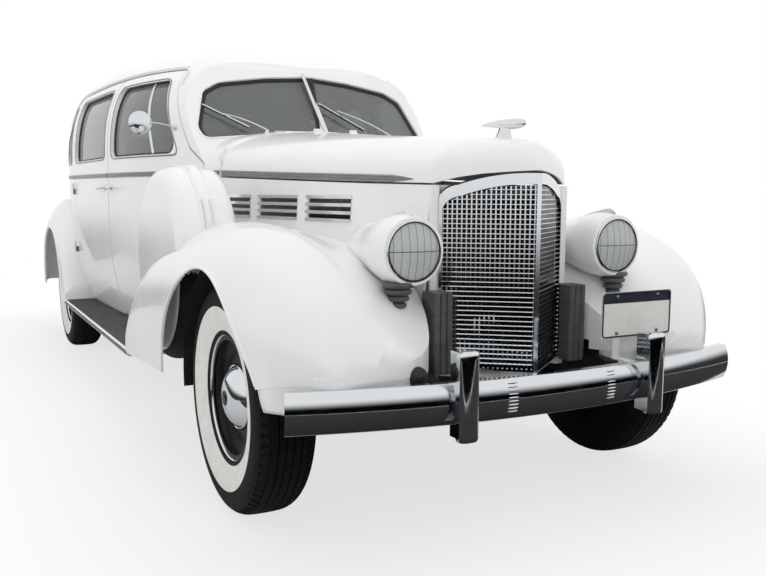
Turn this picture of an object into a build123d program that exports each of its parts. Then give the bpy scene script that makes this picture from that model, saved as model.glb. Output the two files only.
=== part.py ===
"""Vintage seven-passenger sedan with separate fenders and a V-shaped egg-crate grille.

+Z is up, the front of the car faces -Y and its left side is towards +X.  The origin is on
the ground, under the middle of the car.  All sizes are in millimetres.
"""
import os
from math import asin, cos, degrees, radians, sin

from build123d import *

os.makedirs("parts", exist_ok=True)

# ---------------------------------------------------------------- driving dimensions
car_length = 5600
wheelbase = 3588
front_overhang = 722            # bumper guards to front axle
front_track = 1532
rear_track = 1566
tyre_r = 390
tyre_width = 200
rim_r = 218                     # rim flange
bead_r = rim_r - 7              # seat of the tyre on the rim
bead_half = 46                  # half width of the tyre at its beads
tread_half = 72
wall = 50                       # doors, roof and body sides, skin to trim
sheet = 8                       # fenders, hood and other pressed panels
shut_gap = 7                    # round doors, hood and boot lid
split_gap = 11                  # between the meeting edges of the doors
trim_gap = 10                   # between the doors and the pillars and sills behind them
seat_gap = 0.3                  # between pieces that rest against each other
belt_z = 1144                   # waist line of the body
skirt_z = 350                   # bottom edge of the body sides
sill_z = 400                    # bottom edge of the doors
floor_z = 570                   # top of the frame, underside of the floor
floor_thickness = 28
floor_top = floor_z + floor_thickness
roof_split_z = 1660             # seam between the roof panel and the pillars
arch_r = 432                    # wheel openings of the fenders

front_axle = -car_length / 2 + front_overhang
rear_axle = front_axle + wheelbase
kingpin_x = front_track / 2 - 50
rail_x = 360                    # side rails of the frame
rail_width = 60

hood_back = front_axle + 984    # rear edge of the hood
cowl_front = hood_back + shut_gap
door_front = front_axle + 1116
door_split = front_axle + 2090
door_back = front_axle + 3030
tail = front_axle + 4680        # end of the body

# windscreen: a V of two flat panes
screen_foot_y = front_axle + 1103
screen_foot_z = 1354
screen_rake = 34.2              # degrees back from upright
screen_vee = 11                 # degrees each pane is swept back

roof_squareness = 0.56          # 1 is an ellipse, less is a squarer roof section

# half width at the waist and height of the roof, at distances behind the front axle
cabin_stations = [
    (984, 556, 1540), (1150, 603, 1610), (1400, 690, 1702), (1700, 772, 1778),
    (2050, 828, 1814), (2400, 852, 1834), (2800, 866, 1845), (3200, 866, 1838),
    (3600, 824, 1785), (3950, 760, 1665), (4250, 690, 1470), (4450, 628, 1270),
    (4600, 560, 1060), (4680, 500, 900),
]
# half width at the waist, crown height and waist height of the hood
hood_stations = [
    (-554, 10, 1152, 1140), (-536, 34, 1184, 1139), (-500, 80, 1224, 1136), (-450, 142, 1240, 1130),
    (-400, 204, 1246, 1119), (-350, 266, 1250, 1100), (0, 342, 1272, 1108), (450, 432, 1302, 1121),
    (984, 548, 1343, 1138),
]
# fenders at distances behind the front axle: crown height, half widths at the valley, the
# crown and the outer face, height of the lip, height of the valley beside the body
front_fender_stations = [
    (-592, 566, 500, 600, 690, 534, 552), (-578, 632, 450, 640, 735, 534, 590),
    (-536, 712, 390, 672, 786, 530, 606), (-455, 806, 340, 702, 862, 518, 662),
    (-320, 893, 306, 728, 926, 480, 752), (-150, 948, 312, 740, 952, 455, 826),
    (60, 968, 330, 744, 957, 435, 868), (300, 953, 380, 748, 957, 415, 872),
    (560, 912, 430, 752, 957, 400, 850), (800, 846, 480, 756, 957, 388, 800),
    (960, 766, 500, 762, 957, 378, 730), (1040, 676, 520, 768, 957, 374, 650),
    (1085, 560, 560, 772, 957, 372, 545), (1104, 440, 600, 776, 957, 370, 430),
]
rear_fender_stations = [
    (3046, 470, 760, 850, 952, 366, 465), (3100, 640, 740, 850, 958, 368, 630),
    (3200, 820, 700, 850, 964, 372, 800), (3380, 958, 660, 850, 970, 380, 935),
    (3580, 1015, 620, 846, 974, 390, 990), (3800, 985, 570, 838, 972, 400, 960),
    (4000, 890, 520, 826, 962, 404, 865), (4180, 745, 480, 812, 944, 404, 725),
    (4300, 590, 460, 800, 916, 404, 575), (4350, 470, 470, 790, 890, 404, 460),
]


# ---------------------------------------------------------------- shared shapes
def body_section(station, inset):
    """Left half of a cross-section of the cabin: upright below the waist, arched roof above."""
    back, waist, roof = station
    w = waist - inset
    top = roof - inset
    bottom = skirt_z - (60 if inset else 0)
    shoulder = min(belt_z, roof - 160)
    rise = shoulder - skirt_z
    side = [
        (w * 0.90, bottom), (w * 0.965, skirt_z + 0.3 * rise),
        (w, skirt_z + 0.75 * rise), (w - 3, shoulder),
    ]
    arc = []
    for angle in (24, 42, 57, 70, 81):
        c, s = cos(radians(angle)), sin(radians(angle))
        arc.append(((w - 10) * c ** roof_squareness, shoulder + (top - shoulder) * s ** roof_squareness))
    past = -20 if inset else 0
    with BuildSketch(Plane.XZ.offset(-(front_axle + back))) as section:
        with BuildLine():
            Spline(*side, *arc, (0, top), tangents=[(0.1, 1), (-1, 0)])
            if inset:
                Line((0, top), (past, top))
            Line((past, top), (past, bottom))
            Line((past, bottom), side[0])
        make_face()
    return section.sketch


def hood_section(station, inset):
    """Arched cross-section of the hood, flat along the waist line."""
    back, waist, crown, belt = station
    w = waist - inset
    top = crown - inset
    arc = []
    for angle in (30, 52, 72):
        c, s = cos(radians(angle)), sin(radians(angle))
        arc.append((w * c ** 0.75, belt + (top - belt) * s ** 0.75))
    half = [(w, belt)] + arc + [(0, top)]
    with BuildSketch(Plane.XZ.offset(-(front_axle + back))) as section:
        with BuildLine():
            Spline(*half, tangents=[(0, 1), (-1, 0)])
            Spline(*[(-x, z) for x, z in reversed(half)], tangents=[(-1, 0), (0, -1)])
            Line((-w, belt), (w, belt))
        make_face()
    return section.sketch


def fender_section(station, inset, drop):
    """Cross-section of a left fender: outer lip, crown, and the valley along the body."""
    back, crown, inner, mid, outer, lip, valley = station
    top = crown - inset
    low = lip - drop
    rise = top - lip
    foot = inner + inset
    with BuildSketch(Plane.XZ.offset(-(front_axle + back))) as section:
        with BuildLine():
            Spline(
                (outer - inset, low), (outer - inset, lip + rise * 0.45),
                ((outer + mid) / 2 + (outer - mid) * 0.14 - inset * 0.7, lip + rise * 0.87), (mid, top),
                ((inner + mid) / 2, (top + valley - inset) / 2 + (top - valley) * 0.12),
                (foot, valley - inset),
                tangents=[(0, 1), (-1, -0.5)],
            )
            Line((foot, valley - inset), (foot, low))
            Line((foot, low), (outer - inset, low))
        make_face()
    return section.sketch


def loft_through(sections):
    with BuildPart() as solid:
        loft(sections=sections)
    return solid.part


def side_prism(outline, x_from, x_to, corner=0):
    """Prism along X whose outline is a list of (y, z) points."""
    with BuildPart() as prism:
        with BuildSketch(Plane.YZ.offset(x_from)) as face:
            with BuildLine():
                Polyline(*outline, close=True)
            make_face()
            if corner:
                fillet(face.vertices(), corner)
        extrude(amount=x_to - x_from)
    return prism.part


def plan_prism(outline, z_from, z_to):
    """Prism along Z whose outline is a list of (x, y) points."""
    with BuildPart() as prism:
        with BuildSketch(Plane.XY.offset(z_from)):
            with BuildLine():
                Polyline(*outline, close=True)
            make_face()
        extrude(amount=z_to - z_from)
    return prism.part


def front_prism(outline, y_from, y_to, corner=0):
    """Prism along Y whose outline is a list of (x, z) points."""
    with BuildPart() as prism:
        with BuildSketch(Plane.XZ.offset(-y_from)) as face:
            with BuildLine():
                Polyline(*outline, close=True)
            make_face()
            if corner:
                fillet(face.vertices(), corner)
        extrude(amount=-(y_to - y_from))
    return prism.part


def block(x_from, x_to, y_from, y_to, z_from, z_to):
    with BuildPart() as solid:
        with Locations(((x_from + x_to) / 2, (y_from + y_to) / 2, (z_from + z_to) / 2)):
            Box(abs(x_to - x_from), y_to - y_from, z_to - z_from)
    return solid.part


def cross_tube(radius, x_from, x_to, y, z):
    """Cylinder along X."""
    with BuildPart() as tube:
        with BuildSketch(Plane.YZ.offset(x_from)):
            with Locations((y, z)):
                Circle(radius)
        extrude(amount=x_to - x_from)
    return tube.part


def save(part, name):
    part.label = name
    export_step(part, f"parts/{name}.step")


hinge_r = 7                     # barrels of the door and lid hinges
hinge_half_length = 34
hinge_leaf = 4


def hinge_half(place, axis, reach, length):
    """Half of a hinge: a barrel from place along axis, and a leaf from the barrel towards reach."""
    with BuildPart() as half:
        with BuildSketch(Plane(origin=place, x_dir=reach, z_dir=axis)):
            Circle(hinge_r)
            Rectangle(length, hinge_leaf, align=(Align.MIN, Align.CENTER))
        extrude(amount=hinge_half_length)
    return half.part


# ---------------------------------------------------------------- cabin shell, left half
def cabin_layer(outer_inset, inner_inset):
    """Left half of the layer of the cabin between two depths below its skin."""
    with BuildPart() as layer:
        add(loft_through([body_section(s, outer_inset) for s in cabin_stations]))
        if inner_inset:
            first, last = cabin_stations[0], cabin_stations[-1]
            inner = [(first[0] - 20, *first[1:])] + cabin_stations[1:-1]
            inner.append((last[0] - 50, *last[1:]))
            add(loft_through([body_section(s, inner_inset) for s in inner]), mode=Mode.SUBTRACT)
    return layer.part


def both_sides(part):
    with BuildPart() as pair:
        add(part)
        mirror(about=Plane.YZ)
    return pair.part


rake = radians(screen_rake)
vee = radians(screen_vee)
screen_plane = Plane(
    origin=(0, screen_foot_y, screen_foot_z),
    x_dir=(cos(vee), sin(vee), 0),
    z_dir=(sin(vee) * cos(rake), -cos(vee) * cos(rake), sin(rake)),
)
screen_frame_depth = 40
glass_thickness = 6
pane_outline = [(20, 4), (300, -22), (560, -50), (592, 10), (556, 225), (480, 280), (260, 318), (20, 335)]


def screen_slab(front, back):
    """Left half of the layer between two depths behind the windscreen's outer face."""
    with BuildPart() as layer:
        with BuildSketch(screen_plane.offset(-front)):
            with Locations((-40, 0)):
                Rectangle(900, 900, align=(Align.MIN, Align.CENTER))
        extrude(amount=-(back - front))
    return layer.part


def pane_prism(front, back):
    """Prism through the left pane opening, with rounded outer corners."""
    with BuildPart() as pane:
        with BuildSketch(screen_plane.offset(-front)) as face:
            with BuildLine():
                Polyline(*pane_outline, close=True)
            make_face()
            fillet(face.vertices().sort_by(Axis.X)[2:], 26)
        extrude(amount=-(back - front))
    return pane.part


cabin_solid = cabin_layer(0, 0)
with BuildPart() as ahead_of_screen:
    add(screen_slab(-1200, 0))
    add(block(-60, 900, hood_back, door_split, belt_z, 2000), mode=Mode.INTERSECT)

with BuildPart() as shell:
    add(cabin_layer(0, wall))
    add(ahead_of_screen.part, mode=Mode.SUBTRACT)

# ---------------------------------------------------------------- doors and side windows
door_top = roof_split_z - 12
pillar_foot = (door_front, belt_z + 50)
front_door_outline = [
    (door_front, sill_z), pillar_foot, (door_front + 100, belt_z + 116),
    (door_front + 372, door_top), (door_split, door_top), (door_split, sill_z),
]
rear_door_outline = [
    (door_split + split_gap, sill_z), (door_split + split_gap, door_top),
    (door_back, door_top), (door_back, sill_z),
]
window_low = 1246
window_high = 1602
front_window_outline = [
    (door_front + 190, window_low), (door_front + 400, window_high), (door_split - 62, window_high),
    (door_split - 62, window_low),
]
rear_window_outline = [
    (door_split + 70, window_low), (door_split + 70, window_high), (door_back - 96, window_high),
    (door_back - 66, window_low),
]
quarter_window_outline = [
    (door_back + 110, window_low), (door_back + 110, window_high - 10), (door_back + 250, window_high - 30),
    (door_back + 400, window_low),
]
window_corner = 45
glass_depth = 20                # of the glass behind the outer skin
side_reach = 1100

glass_layer = cabin_layer(glass_depth, glass_depth + glass_thickness)


# upright hinge lines of the doors, just outside the skin, and the heights of their hinges
front_hinge = (608, door_front - 4)
rear_hinge = (882, door_back + 4)
door_hinge_z = (690, 1050)
door_leaf = 60


def door_hinges(line, into, rise):
    """Halves of a door's two hinges; into is -1 for leaves to the front and 1 for leaves to the rear."""
    with BuildPart() as halves:
        for z in door_hinge_z:
            add(hinge_half((*line, z + rise), (0, 0, 1), (-0.86, 0.5 * into, 0), door_leaf))
    return halves.part


def left_door(outline, window, line, into):
    with BuildPart() as door:
        add(shell.part)
        add(side_prism(outline, 300, side_reach, 14), mode=Mode.INTERSECT)
        add(side_prism(window, 300, side_reach, window_corner), mode=Mode.SUBTRACT)
        add(door_hinges(line, into, hinge_half_length + seat_gap))
    return door.part


def left_glass(window):
    """Pane that fills a window opening, following the curve of the side."""
    with BuildPart() as pane:
        add(glass_layer)
        add(side_prism(window, 300, side_reach, window_corner), mode=Mode.INTERSECT)
    return pane.part


front_door = left_door(front_door_outline, front_window_outline, front_hinge, 1)
rear_door = left_door(rear_door_outline, rear_window_outline, rear_hinge, -1)
for side, place in (("left", 0), ("right", 1)):
    for name, solid in (
        ("front_door", front_door), ("rear_door", rear_door),
        ("front_door_glass", left_glass(front_window_outline)),
        ("rear_door_glass", left_glass(rear_window_outline)),
    ):
        save(mirror(solid, about=Plane.YZ) if place else solid, f"{name}_{side}")

# ---------------------------------------------------------------- fixed body panels
door_opening_outline = [
    (door_front - shut_gap, sill_z - 12), (door_front - shut_gap, belt_z + 53),
    (door_front + 92, belt_z + 121), (door_front + 368, door_top + shut_gap),
    (door_back + shut_gap, door_top + shut_gap), (door_back + shut_gap, sill_z - 12),
]
door_opening = side_prism(door_opening_outline, 300, side_reach, 8)
rear_window_z = 1470
rear_light_outline = [
    (14, rear_window_z - 80), (320, rear_window_z - 80),
    (290, rear_window_z + 80), (14, rear_window_z + 80),
]
rear_window = front_prism(rear_light_outline, front_axle + 3500, tail, 30)
roof_back = front_axle + 3960
boot_half = 430
boot_top_z = 1270
boot_low_z = 700
boot_front_y = front_axle + 4060
wheelhouse_x = 640              # inner wall of the rear wheel houses
rear_floor_z = 640              # floor over the rear axle
rear_floor_top = rear_floor_z + 20
kick_y = rear_axle - arch_r - 40  # step in the floor ahead of the axle
wheelhouse = cross_tube(arch_r, wheelhouse_x, 1000, rear_axle, tyre_r)

lid_hinge_y = front_axle + 4455
lid_hinge_z = 1286
lid_hinge_x = 40
lid_reach = (0, 0.17, -0.98)
lid_frame_reach = (0, -0.98, 0.17)


def lid_hinge(rise, reach):
    """Half of the left hinge of the boot lid."""
    return hinge_half((lid_hinge_x + rise, lid_hinge_y, lid_hinge_z), (1, 0, 0), reach, 64)


with BuildPart() as boot_half_lid:
    add(shell.part)
    add(block(0, boot_half, boot_front_y, tail + 50, boot_low_z, boot_top_z), mode=Mode.INTERSECT)
    add(lid_hinge(hinge_half_length + seat_gap, lid_reach))
save(both_sides(boot_half_lid.part), "boot_lid")

with BuildPart() as fixed_shell:
    add(shell.part)
    add(door_opening, mode=Mode.SUBTRACT)
    add(side_prism(quarter_window_outline, 300, side_reach, window_corner), mode=Mode.SUBTRACT)
    add(rear_window, mode=Mode.SUBTRACT)
    add(
        block(-60, boot_half + shut_gap, boot_front_y - shut_gap, tail + 50,
              boot_low_z - shut_gap, boot_top_z + shut_gap),
        mode=Mode.SUBTRACT,
    )

with BuildPart() as half_roof:
    add(fixed_shell.part)
    add(block(-60, 1000, cowl_front, roof_back, roof_split_z, 1900), mode=Mode.INTERSECT)
save(both_sides(half_roof.part), "roof")

# rear quarters, tail, wheel houses and the panel behind the rear seat
with BuildPart() as half_rear:
    add(fixed_shell.part)
    add(block(-60, 1000, door_back - 100, tail + 10, sill_z - 12, roof_split_z), mode=Mode.INTERSECT)
    add(wheelhouse, mode=Mode.SUBTRACT)
    add(door_hinges(rear_hinge, 1, 0))
    add(lid_hinge(0, lid_frame_reach))
    add(block(rail_x - 34, rail_x + 34, tail - 120, tail + 20, 380, 500), mode=Mode.SUBTRACT)
with BuildPart() as wheelhouse_liner:
    add(cross_tube(arch_r + sheet, wheelhouse_x - sheet, 760, rear_axle, tyre_r))
    add(wheelhouse, mode=Mode.SUBTRACT)
    add(block(0, 900, rear_axle - 500, rear_axle + 500, 480, rear_floor_z + 400), mode=Mode.INTERSECT)
with BuildPart() as rear_body:
    add(half_rear.part)
    add(wheelhouse_liner.part)
    mirror(about=Plane.YZ)
save(rear_body.part, "rear_body")

rocker_inset = wall + trim_gap + 8
inner_space = cabin_layer(rocker_inset + seat_gap, 0)
with BuildPart() as half_floor:
    add(inner_space)
    add(block(-60, 900, cowl_front + 60, kick_y, floor_z, floor_z + floor_thickness), mode=Mode.INTERSECT)
with BuildPart() as half_rear_floor:
    add(inner_space)
    add(block(-60, wheelhouse_x - sheet, kick_y, tail - 90, rear_floor_z, rear_floor_top),
        mode=Mode.INTERSECT)
with BuildPart() as floor_pan:
    add(half_floor.part)
    add(half_rear_floor.part)
    add(block(-60, wheelhouse_x - sheet, kick_y - 20, kick_y, floor_z, rear_floor_top))
    mirror(about=Plane.YZ)
save(floor_pan.part, "floor_pan")

# sills below the doors, and the pillars behind the meeting edges of the doors
side_layer = cabin_layer(wall + trim_gap, wall + 38)
rocker_layer = cabin_layer(0, rocker_inset)
with BuildPart() as half_sills:
    add(rocker_layer)
    add(block(0, 1000, door_front - shut_gap, door_back + shut_gap, skirt_z, sill_z - 12),
        mode=Mode.INTERSECT)
with BuildPart() as pillar:
    add(side_layer)
    add(block(300, 1000, door_split - 30, door_split + 37, floor_top, roof_split_z), mode=Mode.INTERSECT)
with BuildPart() as inner_rocker:
    add(cabin_layer(wall + trim_gap, rocker_inset))
    add(block(300, 1000, door_front - shut_gap, door_back + shut_gap, sill_z - 20, floor_top + 20),
        mode=Mode.INTERSECT)
with BuildPart() as body_sills:
    add(half_sills.part)
    add(inner_rocker.part)
    add(pillar.part)
    mirror(about=Plane.YZ)
save(body_sills.part, "body_sills")

# cowl: sides, curved top, windscreen frame, front pillars and firewall
screen_layer = screen_slab(0, screen_frame_depth)
cowl_stations = [(984 + shut_gap, 550, 1344, 1139), (1090, 585, 1352, 1142), (1330, 640, 1362, 1144)]
cowl_top = loft_through([hood_section(s, 0) for s in cowl_stations])
under_cowl = loft_through([
    hood_section((s[0] + d, s[1], s[2], s[3] - 30), sheet) for s, d in zip(cowl_stations, (-20, 0, 20))
])
with BuildPart() as behind_screen:
    add(screen_slab(4, 900))
    add(block(-60, 900, hood_back, door_split, belt_z - 100, 2000), mode=Mode.INTERSECT)
with BuildPart() as cowl_shell:
    add(cowl_top)
    add(block(0, 900, hood_back, door_split, 1000, 1500), mode=Mode.INTERSECT)
    add(under_cowl, mode=Mode.SUBTRACT)
    add(behind_screen.part, mode=Mode.SUBTRACT)
    add(door_opening, mode=Mode.SUBTRACT)
with BuildPart() as screen_frame:
    add(cabin_layer(0, 0))
    add(screen_layer, mode=Mode.INTERSECT)
    add(block(0, 900, hood_back, door_split, belt_z, roof_split_z), mode=Mode.INTERSECT)
    add(door_opening, mode=Mode.SUBTRACT)
firewall_y = cowl_front + 14
hood_hinge_x = 40
hood_hinge_z = 1352


def hood_hinge(rise, into):
    """Half of the left hinge of the hood; into is -1 for the leaf on the hood."""
    place = (hood_hinge_x + rise, hood_back + 2, hood_hinge_z)
    return hinge_half(place, (1, 0, 0), (0, 0.8 * into, -0.6), 24)


with BuildPart() as firewall:
    add(cabin_layer(wall - 4, 0))
    add(block(0, 900, firewall_y, firewall_y + sheet, floor_z, 1350), mode=Mode.INTERSECT)
with BuildPart() as cowl:
    add(fixed_shell.part)
    add(block(-60, 1000, cowl_front, door_split - 40, sill_z - 12, roof_split_z), mode=Mode.INTERSECT)
    add(cowl_shell.part)
    add(screen_frame.part)
    add(firewall.part)
    add(pane_prism(-60, screen_frame_depth + 10), mode=Mode.SUBTRACT)
    add(door_hinges(front_hinge, -1, 0))
    add(hood_hinge(0, 1))
    mirror(about=Plane.YZ)
save(cowl.part, "cowl")

with BuildPart() as windscreen:
    add(pane_prism(17, 17 + glass_thickness))
    mirror(about=Plane.YZ)
save(windscreen.part, "windscreen_glass")
with BuildPart() as rear_glass:
    add(glass_layer)
    add(rear_window, mode=Mode.INTERSECT)
    add(left_glass(quarter_window_outline))
    mirror(about=Plane.YZ)
save(rear_glass.part, "rear_glass")

# ---------------------------------------------------------------- hood and hood sides
prow_y = front_axle - 556       # centre line of the grille
prow_half = 248
prow_back_y = front_axle - 356  # outer edges of the grille
grille_top_z = 1131             # at the centre line
grille_corner_z = 1090
grille_low_z = 500
prow_slope = (prow_back_y - prow_y) / prow_half


def prow_band(front, back, half=prow_half):
    """Plan outline of a V-shaped band, between two distances behind the prow."""
    reach = prow_slope * half
    return [
        (0, prow_y + front), (half, prow_y + front + reach), (half, prow_y + back + reach),
        (0, prow_y + back), (-half, prow_y + back + reach), (-half, prow_y + front + reach),
    ]


def hood_solid(stations, inset):
    """Hood between its stations: the rounded nose in short straight steps, the rest in one smooth sweep."""
    sections = [hood_section(s, inset) for s in stations]
    with BuildPart() as solid:
        loft(sections=sections[:-hood_sweep], ruled=True)
        loft(sections=sections[-hood_sweep - 1:])
    return solid.part


hood_sweep = 3                  # stations behind the one where the nose begins
hood_shape = hood_solid(hood_stations, 0)
hollow_shift = (16, 8, 0, 0, 0, 0, 0, 30)
hood_hollow = hood_solid(
    [(s[0] + d, s[1], s[2], s[3] - 12) for s, d in zip(hood_stations[1:], hollow_shift)], sheet)
with BuildPart() as hood:
    add(hood_shape)
    add(hood_hollow, mode=Mode.SUBTRACT)
    add(hood_hinge(hinge_half_length + seat_gap, -1))
    add(mirror(hood_hinge(hinge_half_length + seat_gap, -1), about=Plane.YZ, mode=Mode.PRIVATE))
save(hood.part, "hood")

# streamlined fin on a short foot, standing on the nose of the hood
fin_y = front_axle - 350
fin_foot_z = 1232
with BuildPart() as hood_ornament:
    with BuildSketch(Plane.YZ.offset(-8)):
        with BuildLine():
            Spline((fin_y - 125, 1296), (fin_y - 60, 1322), (fin_y + 50, 1330), (fin_y + 125, 1316))
            Polyline((fin_y + 125, 1316), (fin_y + 40, 1286), (fin_y - 60, 1284), (fin_y - 125, 1296))
        make_face()
    extrude(amount=16)
    with Locations((0, fin_y, (fin_foot_z + 1290) / 2)):
        Box(20, 70, 1290 - fin_foot_z)
    add(hood_shape, mode=Mode.SUBTRACT)
save(hood_ornament.part, "hood_ornament")

side_gap = 7
side_low_z = 640
side_flare = 26                 # how much wider the hood sides are at their foot
side_stations = [(-338, 268, 0, 1101)] + hood_stations[-3:]
louvre_groups = [(60, 330), (400, 670), (740, 950)]
louvre_top_z = 1052
louvre_pitch = 28
louvre_slots = 3
louvre_width = 12               # height of a bright bar
louvre_stand = 6                # of the bars in front of the hood side
louvre_lap = 6                  # of the bars past the ends of the slots


def side_strip(outset, depth, z_low, z_high):
    """Strip of the left hood side between two heights, standing out by outset."""
    sections = []
    for back, waist, crown, belt in side_stations:
        top = belt - side_gap
        high = min(z_high, top)
        x_high = waist + side_flare * (top - high) / (top - side_low_z) + outset
        x_low = waist + side_flare * (top - z_low) / (top - side_low_z) + outset
        with BuildSketch(Plane.XZ.offset(-(front_axle + back))) as section:
            with BuildLine():
                Polyline((x_high, high), (x_low, z_low), (x_low - depth, z_low), (x_high - depth, high),
                         close=True)
            make_face()
        sections.append(section.sketch)
    with BuildPart() as strip:
        loft(sections=sections, ruled=True)
    return strip.part


with BuildPart() as hood_sides:
    add(side_strip(0, sheet, side_low_z, 1200))
    for start, end in louvre_groups:
        for row in range(louvre_slots):
            z = louvre_top_z - louvre_pitch * (row + 0.5)
            add(block(250, 600, front_axle + start, front_axle + end, z - 8, z + 8), mode=Mode.SUBTRACT)
    mirror(about=Plane.YZ)
save(hood_sides.part, "hood_sides")

with BuildPart() as louvre_layers:
    for row in range(louvre_slots + 1):
        z = louvre_top_z - louvre_pitch * row
        add(side_strip(louvre_stand + seat_gap, louvre_stand, z - louvre_width / 2, z + louvre_width / 2))
with BuildPart() as louvre_reach:
    for start, end in louvre_groups:
        add(block(250, 600, front_axle + start - louvre_lap, front_axle + end + louvre_lap, 900, 1100))
with BuildPart() as louvre_bars:
    add(louvre_layers.part)
    add(louvre_reach.part, mode=Mode.INTERSECT)
    mirror(about=Plane.YZ)
save(louvre_bars.part, "louvre_bars")

# ---------------------------------------------------------------- grille
bar_rows = 30
bar_columns = 16
bar_height = 6
bar_front = 4                   # face of the level bars behind the prow line
bar_depth = 9
column_width = 4
column_depth = 14
surround_width = 8              # thin bright rim at the sides and foot
top_bar_height = 34             # deep bright bar over the top
spine_half = 8                  # half width of the bright bar down the prow
row_pitch = (grille_top_z - grille_low_z) / (bar_rows + 1)
column_pitch = prow_half / (bar_columns + 1)
column_clearance = prow_slope * column_width / 2 + seat_gap
with BuildPart() as grille_rows:
    for row in range(bar_rows):
        z = grille_low_z + row_pitch * (row + 1)
        add(plan_prism(prow_band(bar_front, bar_front + bar_depth), z - bar_height / 2, z + bar_height / 2))
with BuildPart() as grille_columns:
    for column in range(bar_columns):
        x = column_pitch * (column + 1)
        y = prow_y + prow_slope * x + bar_front + bar_depth + column_clearance
        for side in (-1, 1):
            add(block(side * x - column_width / 2, side * x + column_width / 2, y, y + column_depth,
                      grille_low_z, grille_top_z))


def grille_opening(rim, top_rim):
    """Half of the grille's outline seen from the front, moved inwards by rim and down by top_rim."""
    half = prow_half - rim
    corner_z = grille_corner_z - top_rim
    high = grille_top_z - top_rim
    with BuildPart() as opening:
        with BuildSketch(Plane.XZ.offset(-(prow_y - 50))):
            with BuildLine():
                Line((-1, grille_low_z + rim), (half, grille_low_z + rim))
                Line((half, grille_low_z + rim), (half, corner_z - 42))
                ThreePointArc((half, corner_z - 42), (half - 13, corner_z - 13), (half - 46, corner_z + 4))
                ThreePointArc((half - 46, corner_z + 4), (half * 0.45, high - 8), (-1, high))
                Line((-1, high), (-1, grille_low_z + rim))
            make_face()
        extrude(amount=-(prow_back_y - prow_y + 130))
        mirror(about=Plane.YZ)
    return opening.part


with BuildPart() as grille_surround:
    add(plan_prism(prow_band(-6, 30, 300), grille_low_z - 20, grille_top_z + 20))
    add(grille_opening(0, 0), mode=Mode.INTERSECT)
    add(grille_opening(surround_width, top_bar_height), mode=Mode.SUBTRACT)
    add(plan_prism([(0, prow_y - 12), (spine_half, prow_y), (spine_half - 3, prow_y + 24),
                    (3 - spine_half, prow_y + 24), (-spine_half, prow_y)], grille_low_z, grille_top_z))
save(grille_surround.part, "grille_surround")
with BuildPart() as grille:
    add(grille_rows.part)
    add(grille_columns.part)
    add(grille_opening(surround_width, top_bar_height), mode=Mode.INTERSECT)
    add(grille_surround.part, mode=Mode.SUBTRACT)
save(grille.part, "grille")

nose_z = 470
nose_flange = 26                # beside the grille, in front of the hood sides
nose_top_z = 1094
with BuildPart() as half_nose:
    add(plan_prism([
        (0, prow_y + 30), (prow_half - 4, prow_back_y + 30 - 4 * prow_slope), (prow_half - 4, prow_back_y),
        (prow_half + nose_flange, prow_back_y), (prow_half + nose_flange, prow_back_y + 12),
        (prow_half + 12, prow_back_y + 12), (prow_half + 12, prow_back_y + 60),
        (prow_half - 4, prow_back_y + 60), (0, prow_y + 60),
    ], nose_z, nose_top_z))
    add(grille_opening(-seat_gap, -seat_gap), mode=Mode.SUBTRACT)
with BuildPart() as nose:
    add(half_nose.part)
    mirror(about=Plane.YZ)
save(nose.part, "nose")

moulding_x = (236, 304)         # inner and outer edges
moulding_front_y = prow_back_y - 74
moulding_z = (495, 757)
moulding_ribs = 3
rib_pitch = (moulding_x[1] - moulding_x[0]) / moulding_ribs
with BuildPart() as grille_side_mouldings:
    with BuildSketch(Plane.XY.offset(moulding_z[0])):
        with BuildLine():
            for rib in range(moulding_ribs):
                edge = moulding_x[0] + rib * rib_pitch
                ThreePointArc((edge, moulding_front_y), (edge + rib_pitch / 2, moulding_front_y - 10),
                              (edge + rib_pitch, moulding_front_y))
            Polyline((moulding_x[1], moulding_front_y), (moulding_x[1], prow_back_y - seat_gap),
                     (prow_half + 4, prow_back_y - seat_gap), (prow_half + 4, prow_back_y - 24),
                     (moulding_x[0], prow_back_y - 24), (moulding_x[0], moulding_front_y))
        make_face()
    extrude(amount=moulding_z[1] - moulding_z[0])
    mirror(about=Plane.YZ)
save(grille_side_mouldings.part, "grille_side_mouldings")

with BuildPart() as radiator_core:
    add(block(-225, 225, prow_back_y + 66, prow_back_y + 136, 520, 1050))
    add(block(rail_width / 2 - rail_x, rail_x - rail_width / 2, prow_back_y + 80, prow_back_y + 120,
              490, 520))
save(radiator_core.part, "radiator_core")

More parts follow.
